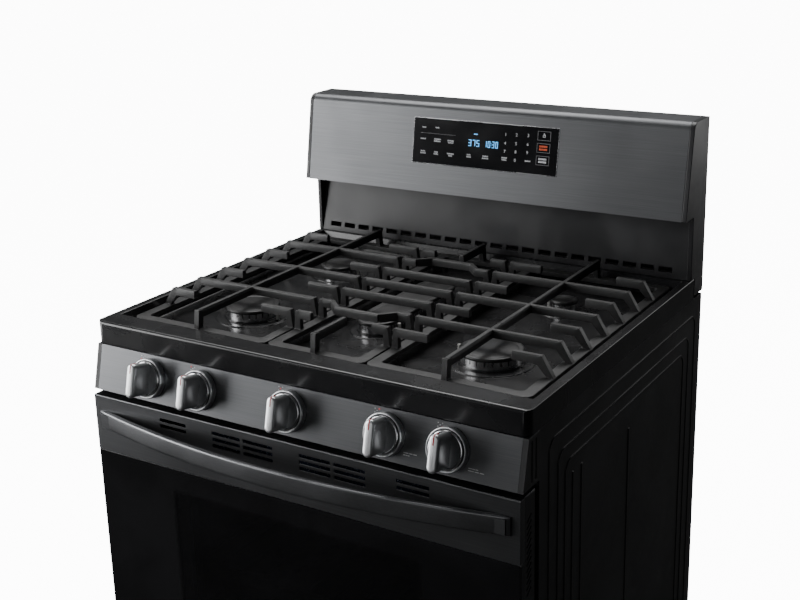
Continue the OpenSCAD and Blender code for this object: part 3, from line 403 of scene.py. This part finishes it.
# ------------------------------------------------------------------ mesh helpers


def shade(mesh, angle=32.0):
    """Smooth shading, with edges sharper than the angle left crisp."""
    mesh.shade_smooth()
    mesh.set_sharp_from_angle(angle=math.radians(angle))


def add_piece(name, mesh, body, finish_name, nodes=()):
    """A finished piece at the origin, riding on its body and standing for the CAD nodes it replaces."""
    obj = bpy.data.objects.new(name, mesh)
    bpy.context.scene.collection.objects.link(obj)
    mesh.materials.clear()
    mesh.materials.append(MATERIALS[finish_name])
    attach(obj, body)
    if nodes:
        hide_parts(*nodes)
    return obj


def mesh_from(bm, name, angle=32.0):
    """A shaded mesh from the working mesh, which is freed."""
    mesh = bpy.data.meshes.new(name)
    bm.to_mesh(mesh)
    bm.free()
    shade(mesh, angle)
    return mesh


def flat_faces_lead(mesh):
    """Weights the shading by face size, so that the narrow rounded edges don't tint the flats beside them."""
    holder = bpy.data.objects.new(mesh.name, mesh)
    bpy.context.scene.collection.objects.link(holder)
    holder.modifiers.new("weighted", "WEIGHTED_NORMAL").keep_sharp = True
    bpy.context.view_layer.update()
    made = bpy.data.meshes.new_from_object(holder.evaluated_get(bpy.context.evaluated_depsgraph_get()))
    bpy.data.objects.remove(holder)
    made.name = mesh.name
    return made


def eased_copy(node, width, finish_name=None, segments=2, angle=35.0):
    """The CAD node with its sharp edges rounded a little, as pressed, cast or moulded edges are."""
    source = NODES[node]
    bm = bmesh.new()
    bm.from_mesh(source.data)
    bmesh.ops.remove_doubles(bm, verts=bm.verts, dist=2e-6)
    edges = [e for e in bm.edges if len(e.link_faces) == 2 and e.calc_face_angle(0.0) > math.radians(angle)]
    bmesh.ops.bevel(bm, geom=edges, offset=width, offset_type="OFFSET", segments=segments, profile=0.6,
                    affect="EDGES", clamp_overlap=False, loop_slide=True)
    bmesh.ops.triangulate(bm, faces=[f for f in bm.faces if len(f.verts) > 4])
    slot = source.material_slots[0].material.name
    return add_piece(f"{node}_eased", flat_faces_lead(mesh_from(bm, f"{node}_eased")), source["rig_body"],
                     finish_name or slot, [node])


def stadium(radius, half_length, inset, height, count=96):
    """One ring of points round a circle, or round a long burner with two round ends."""
    r = radius - inset
    points = []
    for end in (1, -1):
        for i in range(count // 2 + 1):
            a = math.pi * i / (count // 2) + (0 if end > 0 else math.pi)
            points.append(Vector((r * math.cos(a), r * math.sin(a) + end * half_length, height)))
    return points


def add_rings(bm, rings, place, closed=False):
    """Skins between rings of points; an open stack is capped at both ends, a closed one joins back on itself."""
    loops = [[bm.verts.new(place @ p) for p in ring] for ring in rings]
    count = len(loops[0])
    pairs = list(zip(loops, loops[1:])) + ([(loops[-1], loops[0])] if closed else [])
    for low, high in pairs:
        for i in range(count):
            j = (i + 1) % count
            bm.faces.new((low[i], low[j], high[j], high[i]))
    if not closed:
        bm.faces.new(loops[0][::-1])
        bm.faces.new(loops[-1])


def tidy(bm):
    """Merges doubled points, drops faces without area and turns every face outwards."""
    bmesh.ops.remove_doubles(bm, verts=bm.verts, dist=1e-6)
    bmesh.ops.dissolve_degenerate(bm, edges=bm.edges, dist=1e-7)
    bmesh.ops.recalc_face_normals(bm, faces=bm.faces)


def add_block(bm, low, high, place=Matrix.Identity(4)):
    """A closed block between two corners, in the given frame."""
    corners = [bm.verts.new(place @ Vector((x, y, z)))
               for z in (low[2], high[2]) for y in (low[1], high[1]) for x in (low[0], high[0])]
    for face in ((0, 2, 3, 1), (4, 5, 7, 6), (0, 1, 5, 4), (2, 6, 7, 3), (0, 4, 6, 2), (1, 3, 7, 5)):
        bm.faces.new([corners[i] for i in face])


# ------------------------------------------------------------------ CAD shapes kept, with eased edges

EASED = {
    "side_panel_left": 0.5, "side_panel_right": 0.5, "front_frame": 0.4, "cooktop": 1.2, "control_panel": 0.5,
    "panel_end_caps": 0.7, "burner_bases": 0.25, "igniters": 0.4, "door_frame": 0.5, "door_band": 0.45,
    "door_inner_panel": 1.0, "drawer_front": 0.8, "drawer_box": 0.5, "guard_panel": 0.6,
    "guard_end_caps": 1.2, "rear_cover": 0.5, "lower_guard": 0.4, "grate_left": 1.1,
    "grate_centre": 1.1, "grate_right": 1.1, "leveling_feet": 0.5, "door_hinges": 0.5,
}
for node_name, width_mm in EASED.items():
    eased_copy(node_name, width_mm * MM, segments=3 if node_name in ("cooktop", "guard_end_caps") else 2)
eased_copy("display_glass", 0.25 * MM, "display_black")
eased_copy("door_glass", 0.9 * MM, segments=3)

for node_name, node_obj in NODES.items():
    if not node_obj.hide_render:
        for material_slot in node_obj.material_slots:
            if material_slot.material.name.split(".")[0] in MATERIALS:
                material_slot.material = MATERIALS[material_slot.material.name.split(".")[0]]

# ------------------------------------------------------------------ burner caps


def cap_piece(node, radius, half_length):
    """A pressed cap: rounded rim, shallow ring groove and the locating ring below."""
    low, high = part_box(node)
    place = Matrix.Translation(((low.x + high.x) / 2, (low.y + high.y) / 2, 0.0))
    top, locating = high.z, low.z
    seat = top - 5.5 * MM
    profile = [(6.0, seat), (0.9, seat), (0.25, seat + 0.25 * MM), (0.0, seat + 0.9 * MM), (0.0, seat + 3.0 * MM),
               (0.3, seat + 4.1 * MM), (1.1, seat + 5.0 * MM), (2.4, top), (7.0, top), (7.5, top - 0.12 * MM),
               (8.2, top - 0.5 * MM), (9.2, top - 0.5 * MM), (9.9, top - 0.15 * MM), (10.4, top - 0.05 * MM),
               (0.6 * radius / MM, top - 0.05 * MM)]
    bm = bmesh.new()
    add_rings(bm, [stadium(radius, half_length, i * MM, z) for i, z in profile], place)
    ring = [(11.0, seat + 0.1 * MM), (11.0, locating + 0.4 * MM), (11.4, locating), (13.6, locating),
            (14.0, locating + 0.4 * MM), (14.0, seat + 0.1 * MM)]
    add_rings(bm, [stadium(radius, half_length, i * MM, z) for i, z in ring], place, closed=True)
    tidy(bm)
    add_piece(f"{node}_pressed", mesh_from(bm, f"{node}_pressed", 40.0), node, "cap_enamel", [node])


for node_name in ("cap_front_left", "cap_front_right", "cap_rear_left", "cap_rear_right", "cap_centre"):
    cap_low, cap_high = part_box(node_name)
    cap_radius = (cap_high.x - cap_low.x) / 2
    cap_piece(node_name, cap_radius, (cap_high.y - cap_low.y) / 2 - cap_radius)

# ------------------------------------------------------------------ knobs

PANEL_SET_BACK, PANEL_TALL = 17.0, 71.0
PANEL_LEAN = math.atan2(PANEL_SET_BACK, PANEL_TALL)
KNOB_X = (-0.265, -0.165, 0.0, 0.165, 0.265)
KNOB_Y, KNOB_Z = -0.3170, 0.8405
KNOB_BASE, KNOB_TALL = 4.3, 46.0


def on_panel(x):
    """Frame on the control panel at x: z out of the panel, y up its face."""
    return Matrix.Translation((x, KNOB_Y, KNOB_Z)) @ Matrix.Rotation(math.pi / 2 - PANEL_LEAN, 4, "X")


def knob_pieces(number, x):
    """A knob: a turned skirt with a dished face, a waisted grip with rounded ends, and a red pointer line."""
    body, base, top = f"knob_{number}", KNOB_BASE, KNOB_TALL
    place = on_panel(x)
    skirt = [(24.0, base), (26.0, base), (26.8, base + 0.4), (27.0, base + 1.2), (27.0, base + 6.4),
             (26.7, base + 7.4), (25.8, base + 8.0), (24.6, base + 8.1), (24.2, base + 7.7), (23.6, base + 6.8),
             (22.6, base + 6.4), (3.4, base + 6.4), (3.4, base)]
    bm = bmesh.new()
    add_rings(bm, [stadium(r * MM, 0.0, 0.0, z * MM) for r, z in skirt], place, closed=True)
    tidy(bm)
    add_piece(f"{body}_skirt", mesh_from(bm, f"{body}_skirt", 40.0), body, "knob_mirror")

    grip = [(0.0, base + 6.0), (0.5, base + 10.0), (0.9, base + 16.0), (0.9, base + 24.0), (0.4, base + 32.0),
            (0.0, top - 5.0), (0.25, top - 2.9), (1.0, top - 1.4), (2.4, top - 0.4), (4.4, top)]
    bm = bmesh.new()
    half_width, half_length = 7.9, 18.5
    add_rings(bm, [stadium(half_width * MM, half_length * MM, i * MM, z * MM, 48) for i, z in grip], place)
    tidy(bm)
    add_piece(f"{body}_grip", mesh_from(bm, f"{body}_grip", 45.0), body, "knob_silver", [body])

    tip = half_length + half_width
    path = [(12.0, top + 0.02), (tip - 4.4, top + 0.02), (tip - 2.4, top - 0.4), (tip - 1.0, top - 1.4),
            (tip - 0.25, top - 2.9), (tip + 0.02, top - 5.0), (tip + 0.02, top - 12.0)]
    bm = bmesh.new()
    rows = []
    for (y, z), (ny, nz) in zip(path, [(0, 1), (0.15, 1), (0.5, 0.85), (0.75, 0.65), (0.95, 0.3), (1, 0.1), (1, 0)]):
        for lift in (-0.3, 0.16):
            rows.append([place @ Vector((s * 0.9 * MM, (y + ny * lift) * MM, (z + nz * lift) * MM)) for s in (-1, 1)])
    sections = [[bm.verts.new(p) for p in (rows[i][0], rows[i][1], rows[i + 1][1], rows[i + 1][0])]
                for i in range(0, len(rows), 2)]
    for first, second in zip(sections, sections[1:]):
        for i in range(4):
            bm.faces.new((first[i], first[(i + 1) % 4], second[(i + 1) % 4], second[i]))
    bm.faces.new(sections[0][::-1])
    bm.faces.new(sections[-1])
    tidy(bm)
    add_piece(f"{body}_pointer", mesh_from(bm, f"{body}_pointer"), body, "knob_red")


def bezel_piece():
    """The deep ring round each knob, and the thin plate at the bottom of it."""
    ring = [(30.0, 0.02), (30.8, 0.3), (31.0, 0.9), (31.0, 8.9), (30.7, 9.9), (30.0, 10.7), (29.3, 11.0),
            (28.8, 10.85), (28.4, 10.2), (28.2, 9.4), (28.2, 1.2), (5.0, 1.2), (5.0, 0.02)]
    bm = bmesh.new()
    for x in KNOB_X:
        add_rings(bm, [stadium(r * MM, 0.0, 0.0, z * MM) for r, z in ring], on_panel(x), closed=True)
    tidy(bm)
    add_piece("knob_bezels_turned", mesh_from(bm, "knob_bezels_turned", 40.0), "base", "knob_silver",
              ["knob_bezels"])


def printed_marks():
    """The little burner maps beside the knobs and the short captions under two of them."""
    pale, red = bmesh.new(), bmesh.new()
    maps = ((-1, -1), (-1, 1), (0, 0), (1, 1), (1, -1))
    for x, (lit_x, lit_y) in zip(KNOB_X, maps):
        for mx, my in ((-1, -1), (-1, 1), (0, 0), (1, 1), (1, -1)):
            centre = on_panel(x) @ Matrix.Translation(((-17 + 3.4 * mx) * MM, (29.5 + 2.6 * my) * MM, 0.0))
            on = (mx, my) == (lit_x, lit_y)
            radius = 1.5 if on else 0.8
            add_rings(red if on else pale,
                      [stadium(radius * MM, 0.0, 0.0, z * MM, 16) for z in (-0.1, 0.12)], centre)
    for x, lengths in ((KNOB_X[3], (21, 10)), (KNOB_X[4], (15, 24))):
        for row, length in enumerate(lengths):
            words = [0.0, 0.36, 0.42, 0.68, 0.74, 1.0]
            for start, end in zip(words[::2], words[1::2]):
                add_block(pale, ((31 + start * length) * MM, (-19.6 - 3.2 * row) * MM, -0.1 * MM),
                          ((31 + end * length) * MM, (-18.4 - 3.2 * row) * MM, 0.1 * MM), on_panel(x))
    for bm, name, look in ((pale, "panel_print_pale", "print_pale"), (red, "panel_print_red", "print_red")):
        tidy(bm)
        add_piece(name, mesh_from(bm, name), "base", look)


for index, knob_place in enumerate(KNOB_X):
    knob_pieces(index + 1, knob_place)
bezel_piece()
printed_marks()

# ------------------------------------------------------------------ door handle


def handle_pieces():
    """The bowed bar: a slightly crowned face, eased edges and a cap at each end."""
    low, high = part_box("door_handle")
    half, front = high.x, low.y
    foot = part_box("door_glass")[0].y
    middle, tall = (low.z + high.z) / 2, (high.z - low.z) / 2
    bow = foot - front - 3 * MM
    radius = (half * half + bow * bow) / (2 * bow)
    centre_y = front + radius
    thick, groove, cap_length = 9 * MM, 0.5 * MM, 9 * MM

    half_angle = math.asin(half / radius)

    def section(share, shrink=0.0):
        """The bar's outline where it stands this share of the way from the middle to the end."""
        angle = share * half_angle
        out = Vector((math.sin(angle), -math.cos(angle), 0.0))
        r, h, crown, steps = 2.6 * MM, tall - shrink, 0.3 * MM, 5
        corners = ((r, h - r, 90), (r, r - h, 180), (thick - shrink - r, r - h, 270), (thick - shrink - r, h - r, 0))
        outline = []
        for number, (depth, z, start) in enumerate(corners):
            for i in range(steps):
                a = math.radians(start + 90 * i / (steps - 1))
                outline.append((depth + shrink * (number < 2) + r * math.cos(a) + crown * (number < 2),
                                z + r * math.sin(a)))
            if number == 0:
                face = [(h - r) * (1 - i / 4) for i in range(1, 8)]
                outline += [(shrink + crown * (z / (h - r)) ** 2, z) for z in face]
        points = []
        for depth, z in outline:
            point = Vector((0.0, centre_y, middle + z)) + out * (radius - depth)
            point.y = min(point.y, foot)
            points.append(point)
        return points

    count, cut = 72, 1 - cap_length / half
    bm = bmesh.new()
    add_rings(bm, [section(-cut + 2 * cut * i / count) for i in range(count + 1)], Matrix.Identity(4))
    tidy(bm)
    add_piece("door_handle_bar", mesh_from(bm, "door_handle_bar", 40.0), "door", "handle_metal",
              ["door_handle"])
    bm = bmesh.new()
    for side in (-1, 1):
        start = side * (cut + groove / half)
        add_rings(bm, [section(start), section(side * 0.9975), section(side * 0.9992, 0.4 * MM),
                       section(side * 1.0, 1.2 * MM)], Matrix.Identity(4))
        add_rings(bm, [section(side * (cut - 0.01), 0.6 * MM), section(start + side * 0.005, 0.6 * MM)],
                  Matrix.Identity(4))
        near, far = sorted((side * (half - 26 * MM), side * (half - 6 * MM)))
        add_block(bm, (near, foot - 8 * MM, middle - tall + 3 * MM), (far, foot, middle + tall - 3 * MM))
    tidy(bm)
    add_piece("door_handle_caps", mesh_from(bm, "door_handle_caps", 40.0), "door", "handle_metal")


handle_pieces()

# ------------------------------------------------------------------ display

GUARD_SET_BACK, GUARD_TALL, DISPLAY_UP = 27.0, 159.0, 92.0
guard_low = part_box("guard_panel")[0]
DISPLAY_FRAME = Matrix.Translation((0.0, guard_low.y + GUARD_SET_BACK * MM * DISPLAY_UP / GUARD_TALL,
                                    guard_low.z + DISPLAY_UP * MM)) @ \
    Matrix.Rotation(math.pi / 2 - math.atan2(GUARD_SET_BACK, GUARD_TALL), 4, "X")
GLASS_W, GLASS_H, GLASS_Z = 286.0, 80.0, 0.5

SEGMENTS = {"0": "abcdef", "1": "bc", "3": "abgcd", "5": "afgcd", "7": "abc"}


def glass_block(bm, x0, y0, x1, y1, lift=0.14):
    """A thin printed bar on the display glass, in millimetres from its centre."""
    add_block(bm, (x0 * MM, y0 * MM, (GLASS_Z - 0.2) * MM), (x1 * MM, y1 * MM, (GLASS_Z + lift) * MM), DISPLAY_FRAME)


def seven_segment(bm, digit, x, y, wide, tall, stroke):
    """One lit digit, its lower left corner at x, y on the glass."""
    bars = {
        "a": (x, y + tall - stroke, x + wide, y + tall),
        "g": (x, y + tall / 2 - stroke / 2, x + wide, y + tall / 2 + stroke / 2),
        "d": (x, y, x + wide, y + stroke),
        "f": (x, y + tall / 2, x + stroke, y + tall - stroke * 0.4),
        "b": (x + wide - stroke, y + tall / 2, x + wide, y + tall - stroke * 0.4),
        "e": (x, y + stroke * 0.4, x + stroke, y + tall / 2),
        "c": (x + wide - stroke, y + stroke * 0.4, x + wide, y + tall / 2),
    }
    for key in SEGMENTS[digit]:
        glass_block(bm, *bars[key])


def text_mesh(text, x, y, size):
    """A short printed number, flat on the glass, centred on x, y."""
    curve = bpy.data.curves.new(f"number_{text}", "FONT")
    curve.body = text
    curve.size = size * MM
    curve.extrude = 0.12 * MM
    curve.align_x = "CENTER"
    curve.align_y = "CENTER"
    curve.resolution_u = 3
    holder = bpy.data.objects.new(f"number_{text}", curve)
    bpy.context.scene.collection.objects.link(holder)
    bpy.context.view_layer.update()
    mesh = bpy.data.meshes.new_from_object(holder.evaluated_get(bpy.context.evaluated_depsgraph_get()))
    bpy.data.objects.remove(holder)
    mesh.transform(DISPLAY_FRAME @ Matrix.Translation((x * MM, y * MM, GLASS_Z * MM)))
    return mesh


def frame_ring(bm, x0, y0, x1, y1, w, lift=0.14):
    """Four printed bars round a button."""
    glass_block(bm, x0, y0, x1, y0 + w, lift)
    glass_block(bm, x0, y1 - w, x1, y1, lift)
    glass_block(bm, x0, y0 + w, x0 + w, y1 - w, lift)
    glass_block(bm, x1 - w, y0 + w, x1, y1 - w, lift)


def display_pieces():
    """The lit digits, the rows of small marks, the keypad numbers, the three buttons and the trim."""

    def at(u, v):
        """Millimetres from the glass's centre, for shares of its width and height from the top left."""
        return (u - 0.5) * GLASS_W, (0.5 - v) * GLASS_H

    blue, white, grey, red = bmesh.new(), bmesh.new(), bmesh.new(), bmesh.new()
    x, y = at(0.395, 0.53)
    for digit in "375":
        seven_segment(blue, digit, x, y, 5.6, 11.5, 1.3)
        x += 8.0
    x, y = at(0.505, 0.53)
    for digit in "1030":
        seven_segment(blue, digit, x, y, 4.8, 11.5, 1.2)
        x += 7.0 if digit != "0" or x > at(0.54, 0)[0] else 8.2
        if digit == "0" and x < at(0.56, 0)[0]:
            for dot in (3.2, 7.4):
                glass_block(blue, x - 2.1, y + dot, x - 1.0, y + dot + 1.2)
    x, y = at(0.43, 0.27)
    glass_block(blue, x, y, x + 7, y + 1.6)
    labels = [(0.075, 0.20, (9,)), (0.17, 0.19, (9,)), (0.07, 0.46, (11,)), (0.175, 0.47, (14, 15)),
              (0.27, 0.48, (13, 11)), (0.075, 0.76, (10, 11)), (0.17, 0.76, (8, 10)), (0.275, 0.77, (15, 9)),
              (0.405, 0.75, (9, 10)), (0.52, 0.75, (11, 13)), (0.65, 0.74, (11, 10)), (0.81, 0.74, (12,))]
    for u, v, lines in labels:
        for row, length in enumerate(lines):
            cx, cy = at(u, v)
            cy -= 3.6 * row - 1.8 * (len(lines) - 1)
            pitch, start = 1.55, cx - length / 2
            for i in range(int(length / pitch)):
                tall = 1.9 if i % 3 else 2.4
                glass_block(white, start + i * pitch, cy - 1.0, start + i * pitch + 1.0, cy - 1.0 + tall)
    x0, y0 = at(0.05, 0.33)
    glass_block(grey, x0, y0, at(0.30, 0)[0], y0 + 0.45)
    for u, v0, v1, lamp in ((0.905, 0.07, 0.27, None), (0.905, 0.33, 0.53, red), (0.905, 0.60, 0.80, white)):
        x0, y1 = at(u - 0.043, v0)
        x1, y0 = at(u + 0.043, v1)
        frame_ring(grey, x0, y0, x1, y1, 0.7)
        if lamp is None:
            frame_ring(white, (x0 + x1) / 2 - 2.4, (y0 + y1) / 2 - 2.4, (x0 + x1) / 2 + 2.4, (y0 + y1) / 2 + 2.0, 0.9)
            glass_block(white, (x0 + x1) / 2 - 0.6, (y0 + y1) / 2 + 2.6, (x0 + x1) / 2 + 0.6, (y0 + y1) / 2 + 4.2)
        else:
            for row in (0, 1):
                for i in range(7):
                    glass_block(lamp, x0 + 4.6 + 2.2 * i, y0 + 4.0 + 5.0 * row,
                                x0 + 6.1 + 2.2 * i, y0 + 7.2 + 5.0 * row)
    keys = [("1", .648, .21), ("2", .722, .20), ("3", .80, .19), ("4", .648, .40), ("5", .722, .39), ("6", .80, .38),
            ("7", .648, .58), ("8", .722, .57), ("9", .80, .56), ("0", .722, .75)]
    for text, u, v in keys:
        white.from_mesh(text_mesh(text, *at(u, v), 7.4))
    for bm, name, look in ((blue, "display_digits_blue", "digit_blue"), (white, "display_print_white", "digit_white"),
                           (grey, "display_print_grey", "digit_grey"), (red, "display_print_red", "digit_red")):
        tidy(bm)
        add_piece(name, mesh_from(bm, name), "base", look)

    bm = bmesh.new()
    half_w, half_h, width, drop, lift = GLASS_W / 2 + 0.1, GLASS_H / 2 + 0.1, 1.5, -0.8, 0.55
    outline = [(drop, 0.0), (lift * 0.7, 0.0), (lift, 0.3), (lift, width - 0.4), (lift * 0.5, width), (drop, width)]
    loops = [[Vector((sx * (half_w + out) * MM, sy * (half_h + out) * MM, z * MM))
              for sx, sy in ((-1, -1), (1, -1), (1, 1), (-1, 1))] for z, out in outline]
    add_rings(bm, loops, DISPLAY_FRAME, closed=True)
    tidy(bm)
    add_piece("display_trim", mesh_from(bm, "display_trim", 25.0), "base", "frame_metal")


display_pieces()

# ------------------------------------------------------------------ screws, by Geometry Nodes


def screw_tree():
    """Hex washer-head screws on points, facing one way."""
    tree = bpy.data.node_groups.new("screws_on_points", "GeometryNodeTree")
    for label, kind, value in (("Geometry", "NodeSocketGeometry", None), ("Head Radius", "NodeSocketFloat", 0.0035),
                               ("Head Height", "NodeSocketFloat", 0.0022), ("Facing", "NodeSocketVector", (0, 1, 0)),
                               ("Finish", "NodeSocketMaterial", None)):
        sock = tree.interface.new_socket(label, in_out="INPUT", socket_type=kind)
        if value is not None:
            sock.default_value = value
    tree.interface.new_socket("Geometry", in_out="OUTPUT", socket_type="NodeSocketGeometry")
    given, result = tree.nodes.new("NodeGroupInput"), tree.nodes.new("NodeGroupOutput")
    link = tree.links.new
    points = put(tree, "GeometryNodeMeshToPoints")
    washer = put(tree, "GeometryNodeMeshCone", {"Vertices": 20})
    head = put(tree, "GeometryNodeMeshCone", {"Vertices": 6})
    thin = put(tree, "ShaderNodeMath", {1: 0.25}, operation="MULTIPLY")
    wide = put(tree, "ShaderNodeMath", {1: 1.45}, operation="MULTIPLY")
    wide_top = put(tree, "ShaderNodeMath", {1: 1.3}, operation="MULTIPLY")
    top = put(tree, "ShaderNodeMath", {1: 0.86}, operation="MULTIPLY")
    joined = put(tree, "GeometryNodeJoinGeometry")
    turn = put(tree, "FunctionNodeAlignRotationToVector", axis="Z")
    placed = put(tree, "GeometryNodeInstanceOnPoints")
    real = put(tree, "GeometryNodeRealizeInstances")
    paint = put(tree, "GeometryNodeSetMaterial")
    link(given.outputs["Geometry"], points.inputs["Mesh"])
    link(given.outputs["Head Radius"], wide.inputs[0])
    link(given.outputs["Head Radius"], wide_top.inputs[0])
    link(given.outputs["Head Radius"], top.inputs[0])
    link(given.outputs["Head Height"], thin.inputs[0])
    link(wide.outputs[0], washer.inputs["Radius Bottom"])
    link(wide_top.outputs[0], washer.inputs["Radius Top"])
    link(thin.outputs[0], washer.inputs["Depth"])
    link(given.outputs["Head Radius"], head.inputs["Radius Bottom"])
    link(top.outputs[0], head.inputs["Radius Top"])
    link(given.outputs["Head Height"], head.inputs["Depth"])
    link(washer.outputs["Mesh"], joined.inputs[0])
    link(head.outputs["Mesh"], joined.inputs[0])
    link(given.outputs["Facing"], turn.inputs["Vector"])
    link(points.outputs[0], placed.inputs["Points"])
    link(joined.outputs[0], placed.inputs["Instance"])
    link(turn.outputs[0], placed.inputs["Rotation"])
    link(placed.outputs[0], real.inputs[0])
    link(real.outputs[0], paint.inputs["Geometry"])
    link(given.outputs["Finish"], paint.inputs["Material"])
    link(paint.outputs[0], result.inputs[0])
    return tree


SCREWS = screw_tree()


def screw_piece(name, body, places, facing, radius, look):
    """Screws at the given places on one body, as one plain mesh."""
    holder_mesh = bpy.data.meshes.new(name)
    holder_mesh.from_pydata([Vector(p) for p in places], [], [])
    holder = bpy.data.objects.new(f"{name}_points", holder_mesh)
    bpy.context.scene.collection.objects.link(holder)
    modifier = holder.modifiers.new("screws", "NODES")
    modifier.node_group = SCREWS
    values = {"Head Radius": radius, "Head Height": radius * 0.62, "Facing": facing, "Finish": MATERIALS[look]}
    for item in SCREWS.interface.items_tree:
        if item.in_out == "INPUT" and item.name in values:
            modifier[item.identifier] = values[item.name]
    bpy.context.view_layer.update()
    mesh = bpy.data.meshes.new_from_object(holder.evaluated_get(bpy.context.evaluated_depsgraph_get()))
    holder.modifiers.remove(modifier)
    bpy.data.objects.remove(holder)
    shade(mesh, 30.0)
    add_piece(name, mesh, body, look)


back_low, back_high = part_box("back_panel")
edge_x, back_y = back_high.x - 0.012, back_high.y
screw_piece("back_screws", "base",
            [(s * edge_x, back_y, z) for s in (-1, 1) for z in (0.06, 0.2, 0.34, 0.48, 0.62, 0.76)]
            + [(x, back_y, back_low.z + 0.012) for x in (-0.25, -0.08, 0.08, 0.25)],
            (0, 1, 0), 0.0034, "zinc")
inner_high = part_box("door_inner_panel")[1]
screw_piece("door_screws", "door",
            [(s * (inner_high.x - 0.012), inner_high.y, z) for s in (-1, 1) for z in (0.36, 0.46, 0.56, 0.66, 0.76)],
            (0, 1, 0), 0.0026, "zinc")

# ------------------------------------------------------------------ camera, floor and light


def place_camera():
    """The camera, from the direction it looks in and its roll."""
    azimuth, elevation, roll = math.radians(32.08), math.radians(16.21), math.radians(-1.51)
    look = Vector((-math.sin(azimuth) * math.cos(elevation), math.cos(azimuth) * math.cos(elevation),
                   -math.sin(elevation)))
    level = look.cross(Vector((0, 0, 1))).normalized()
    upright = level.cross(look)
    right = level * math.cos(roll) + upright * math.sin(roll)
    up = upright * math.cos(roll) - level * math.sin(roll)
    data = bpy.data.cameras.new("view_camera")
    data.lens, data.sensor_width, data.shift_y = 56.587, 36.0, -0.0625
    data.clip_start, data.clip_end = 0.05, 60.0
    camera = bpy.data.objects.new("view_camera", data)
    bpy.context.scene.collection.objects.link(camera)
    camera.matrix_world = Matrix.Translation((1.0280, -1.6439, 1.5622)) @ \
        Matrix((right, up, -look)).transposed().to_4x4()
    bpy.context.scene.camera = camera


def softbox(name, place, target, size, power):
    """A rectangular lamp at a place, turned to its target."""
    data = bpy.data.lights.new(name, "AREA")
    data.shape, data.size, data.size_y, data.energy = "RECTANGLE", size[0], size[1], power
    light = bpy.data.objects.new(name, data)
    bpy.context.scene.collection.objects.link(light)
    aim = (Vector(place) - Vector(target)).to_track_quat("Z", "Y")
    light.matrix_world = Matrix.Translation(place) @ aim.to_matrix().to_4x4()
    light.visible_camera = False


BACKDROP = 12.0


def light_room():
    """A white backdrop for the camera, a dim room with a paler left side for everything else, and four lamps."""
    world = bpy.data.worlds.new("studio")
    bpy.context.scene.world = world
    world.use_nodes = True
    tree = world.node_tree
    background = tree.nodes["Background"]
    rays = put(tree, "ShaderNodeLightPath")
    backdrop = put(tree, "ShaderNodeBackground", {"Color": (1, 1, 1, 1), "Strength": BACKDROP})
    choose = put(tree, "ShaderNodeMixShader")
    background.inputs["Color"].default_value = (0.9, 0.95, 1.0, 1)
    ray_way = put(tree, "ShaderNodeTexCoord")
    towards = put(tree, "ShaderNodeVectorMath", operation="DOT_PRODUCT")
    towards.inputs[1].default_value = Vector((-0.88, -0.47, 0.08)).normalized()
    haze = put(tree, "ShaderNodeMapRange", {"From Min": 0.86, "From Max": 1.0, "To Min": 0.04, "To Max": 0.9},
               interpolation_type="SMOOTHSTEP")
    tree.links.new(ray_way.outputs["Generated"], towards.inputs[0])
    tree.links.new(towards.outputs["Value"], haze.inputs["Value"])
    tree.links.new(haze.outputs[0], background.inputs["Strength"])
    tree.links.new(rays.outputs["Is Camera Ray"], choose.inputs[0])
    tree.links.new(background.outputs[0], choose.inputs[1])
    tree.links.new(backdrop.outputs[0], choose.inputs[2])
    tree.links.new(choose.outputs[0], tree.nodes["World Output"].inputs["Surface"])
    softbox("left_softbox", (-2.8, -1.8, 1.5), (0.0, -0.1, 0.85), (2.0, 2.6), 130.0)
    softbox("top_softbox", (-0.8, 0.9, 3.0), (0.0, 0.0, 0.9), (2.4, 1.4), 60.0)
    softbox("front_fill", (0.2, -3.6, 1.4), (0.0, 0.0, 0.7), (1.2, 1.2), 6.0)
    softbox("back_fill", (1.8, 3.0, 1.6), (0.0, 0.2, 0.7), (2.0, 2.4), 24.0)


def lay_floor():
    """A pale floor that runs into the backdrop; it throws little light back on the dark pieces."""
    material = finish("studio_floor", (0.72, 0.72, 0.72), (0.80, 0.80, 0.80), (0.75, 0.85), BLOTCH)
    tree = material.node_tree
    rays = put(tree, "ShaderNodeLightPath")
    dim = put(tree, "ShaderNodeBsdfDiffuse", {"Color": (0.05, 0.05, 0.05, 1.0)})
    bright = put(tree, "ShaderNodeEmission", {"Strength": BACKDROP})
    lit = put(tree, "ShaderNodeAddShader")
    choose = put(tree, "ShaderNodeMixShader")
    tree.links.new(tree.nodes["Principled BSDF"].outputs[0], lit.inputs[0])
    tree.links.new(bright.outputs[0], lit.inputs[1])
    tree.links.new(rays.outputs["Is Camera Ray"], choose.inputs[0])
    tree.links.new(dim.outputs[0], choose.inputs[1])
    tree.links.new(lit.outputs[0], choose.inputs[2])
    tree.links.new(choose.outputs[0], tree.nodes["Material Output"].inputs["Surface"])
    bm = bmesh.new()
    bmesh.ops.create_grid(bm, x_segments=8, y_segments=8, size=9.0)
    floor = bpy.data.objects.new("studio_floor", mesh_from(bm, "studio_floor"))
    floor.data.materials.append(material)
    bpy.context.scene.collection.objects.link(floor)


place_camera()
light_room()
lay_floor()
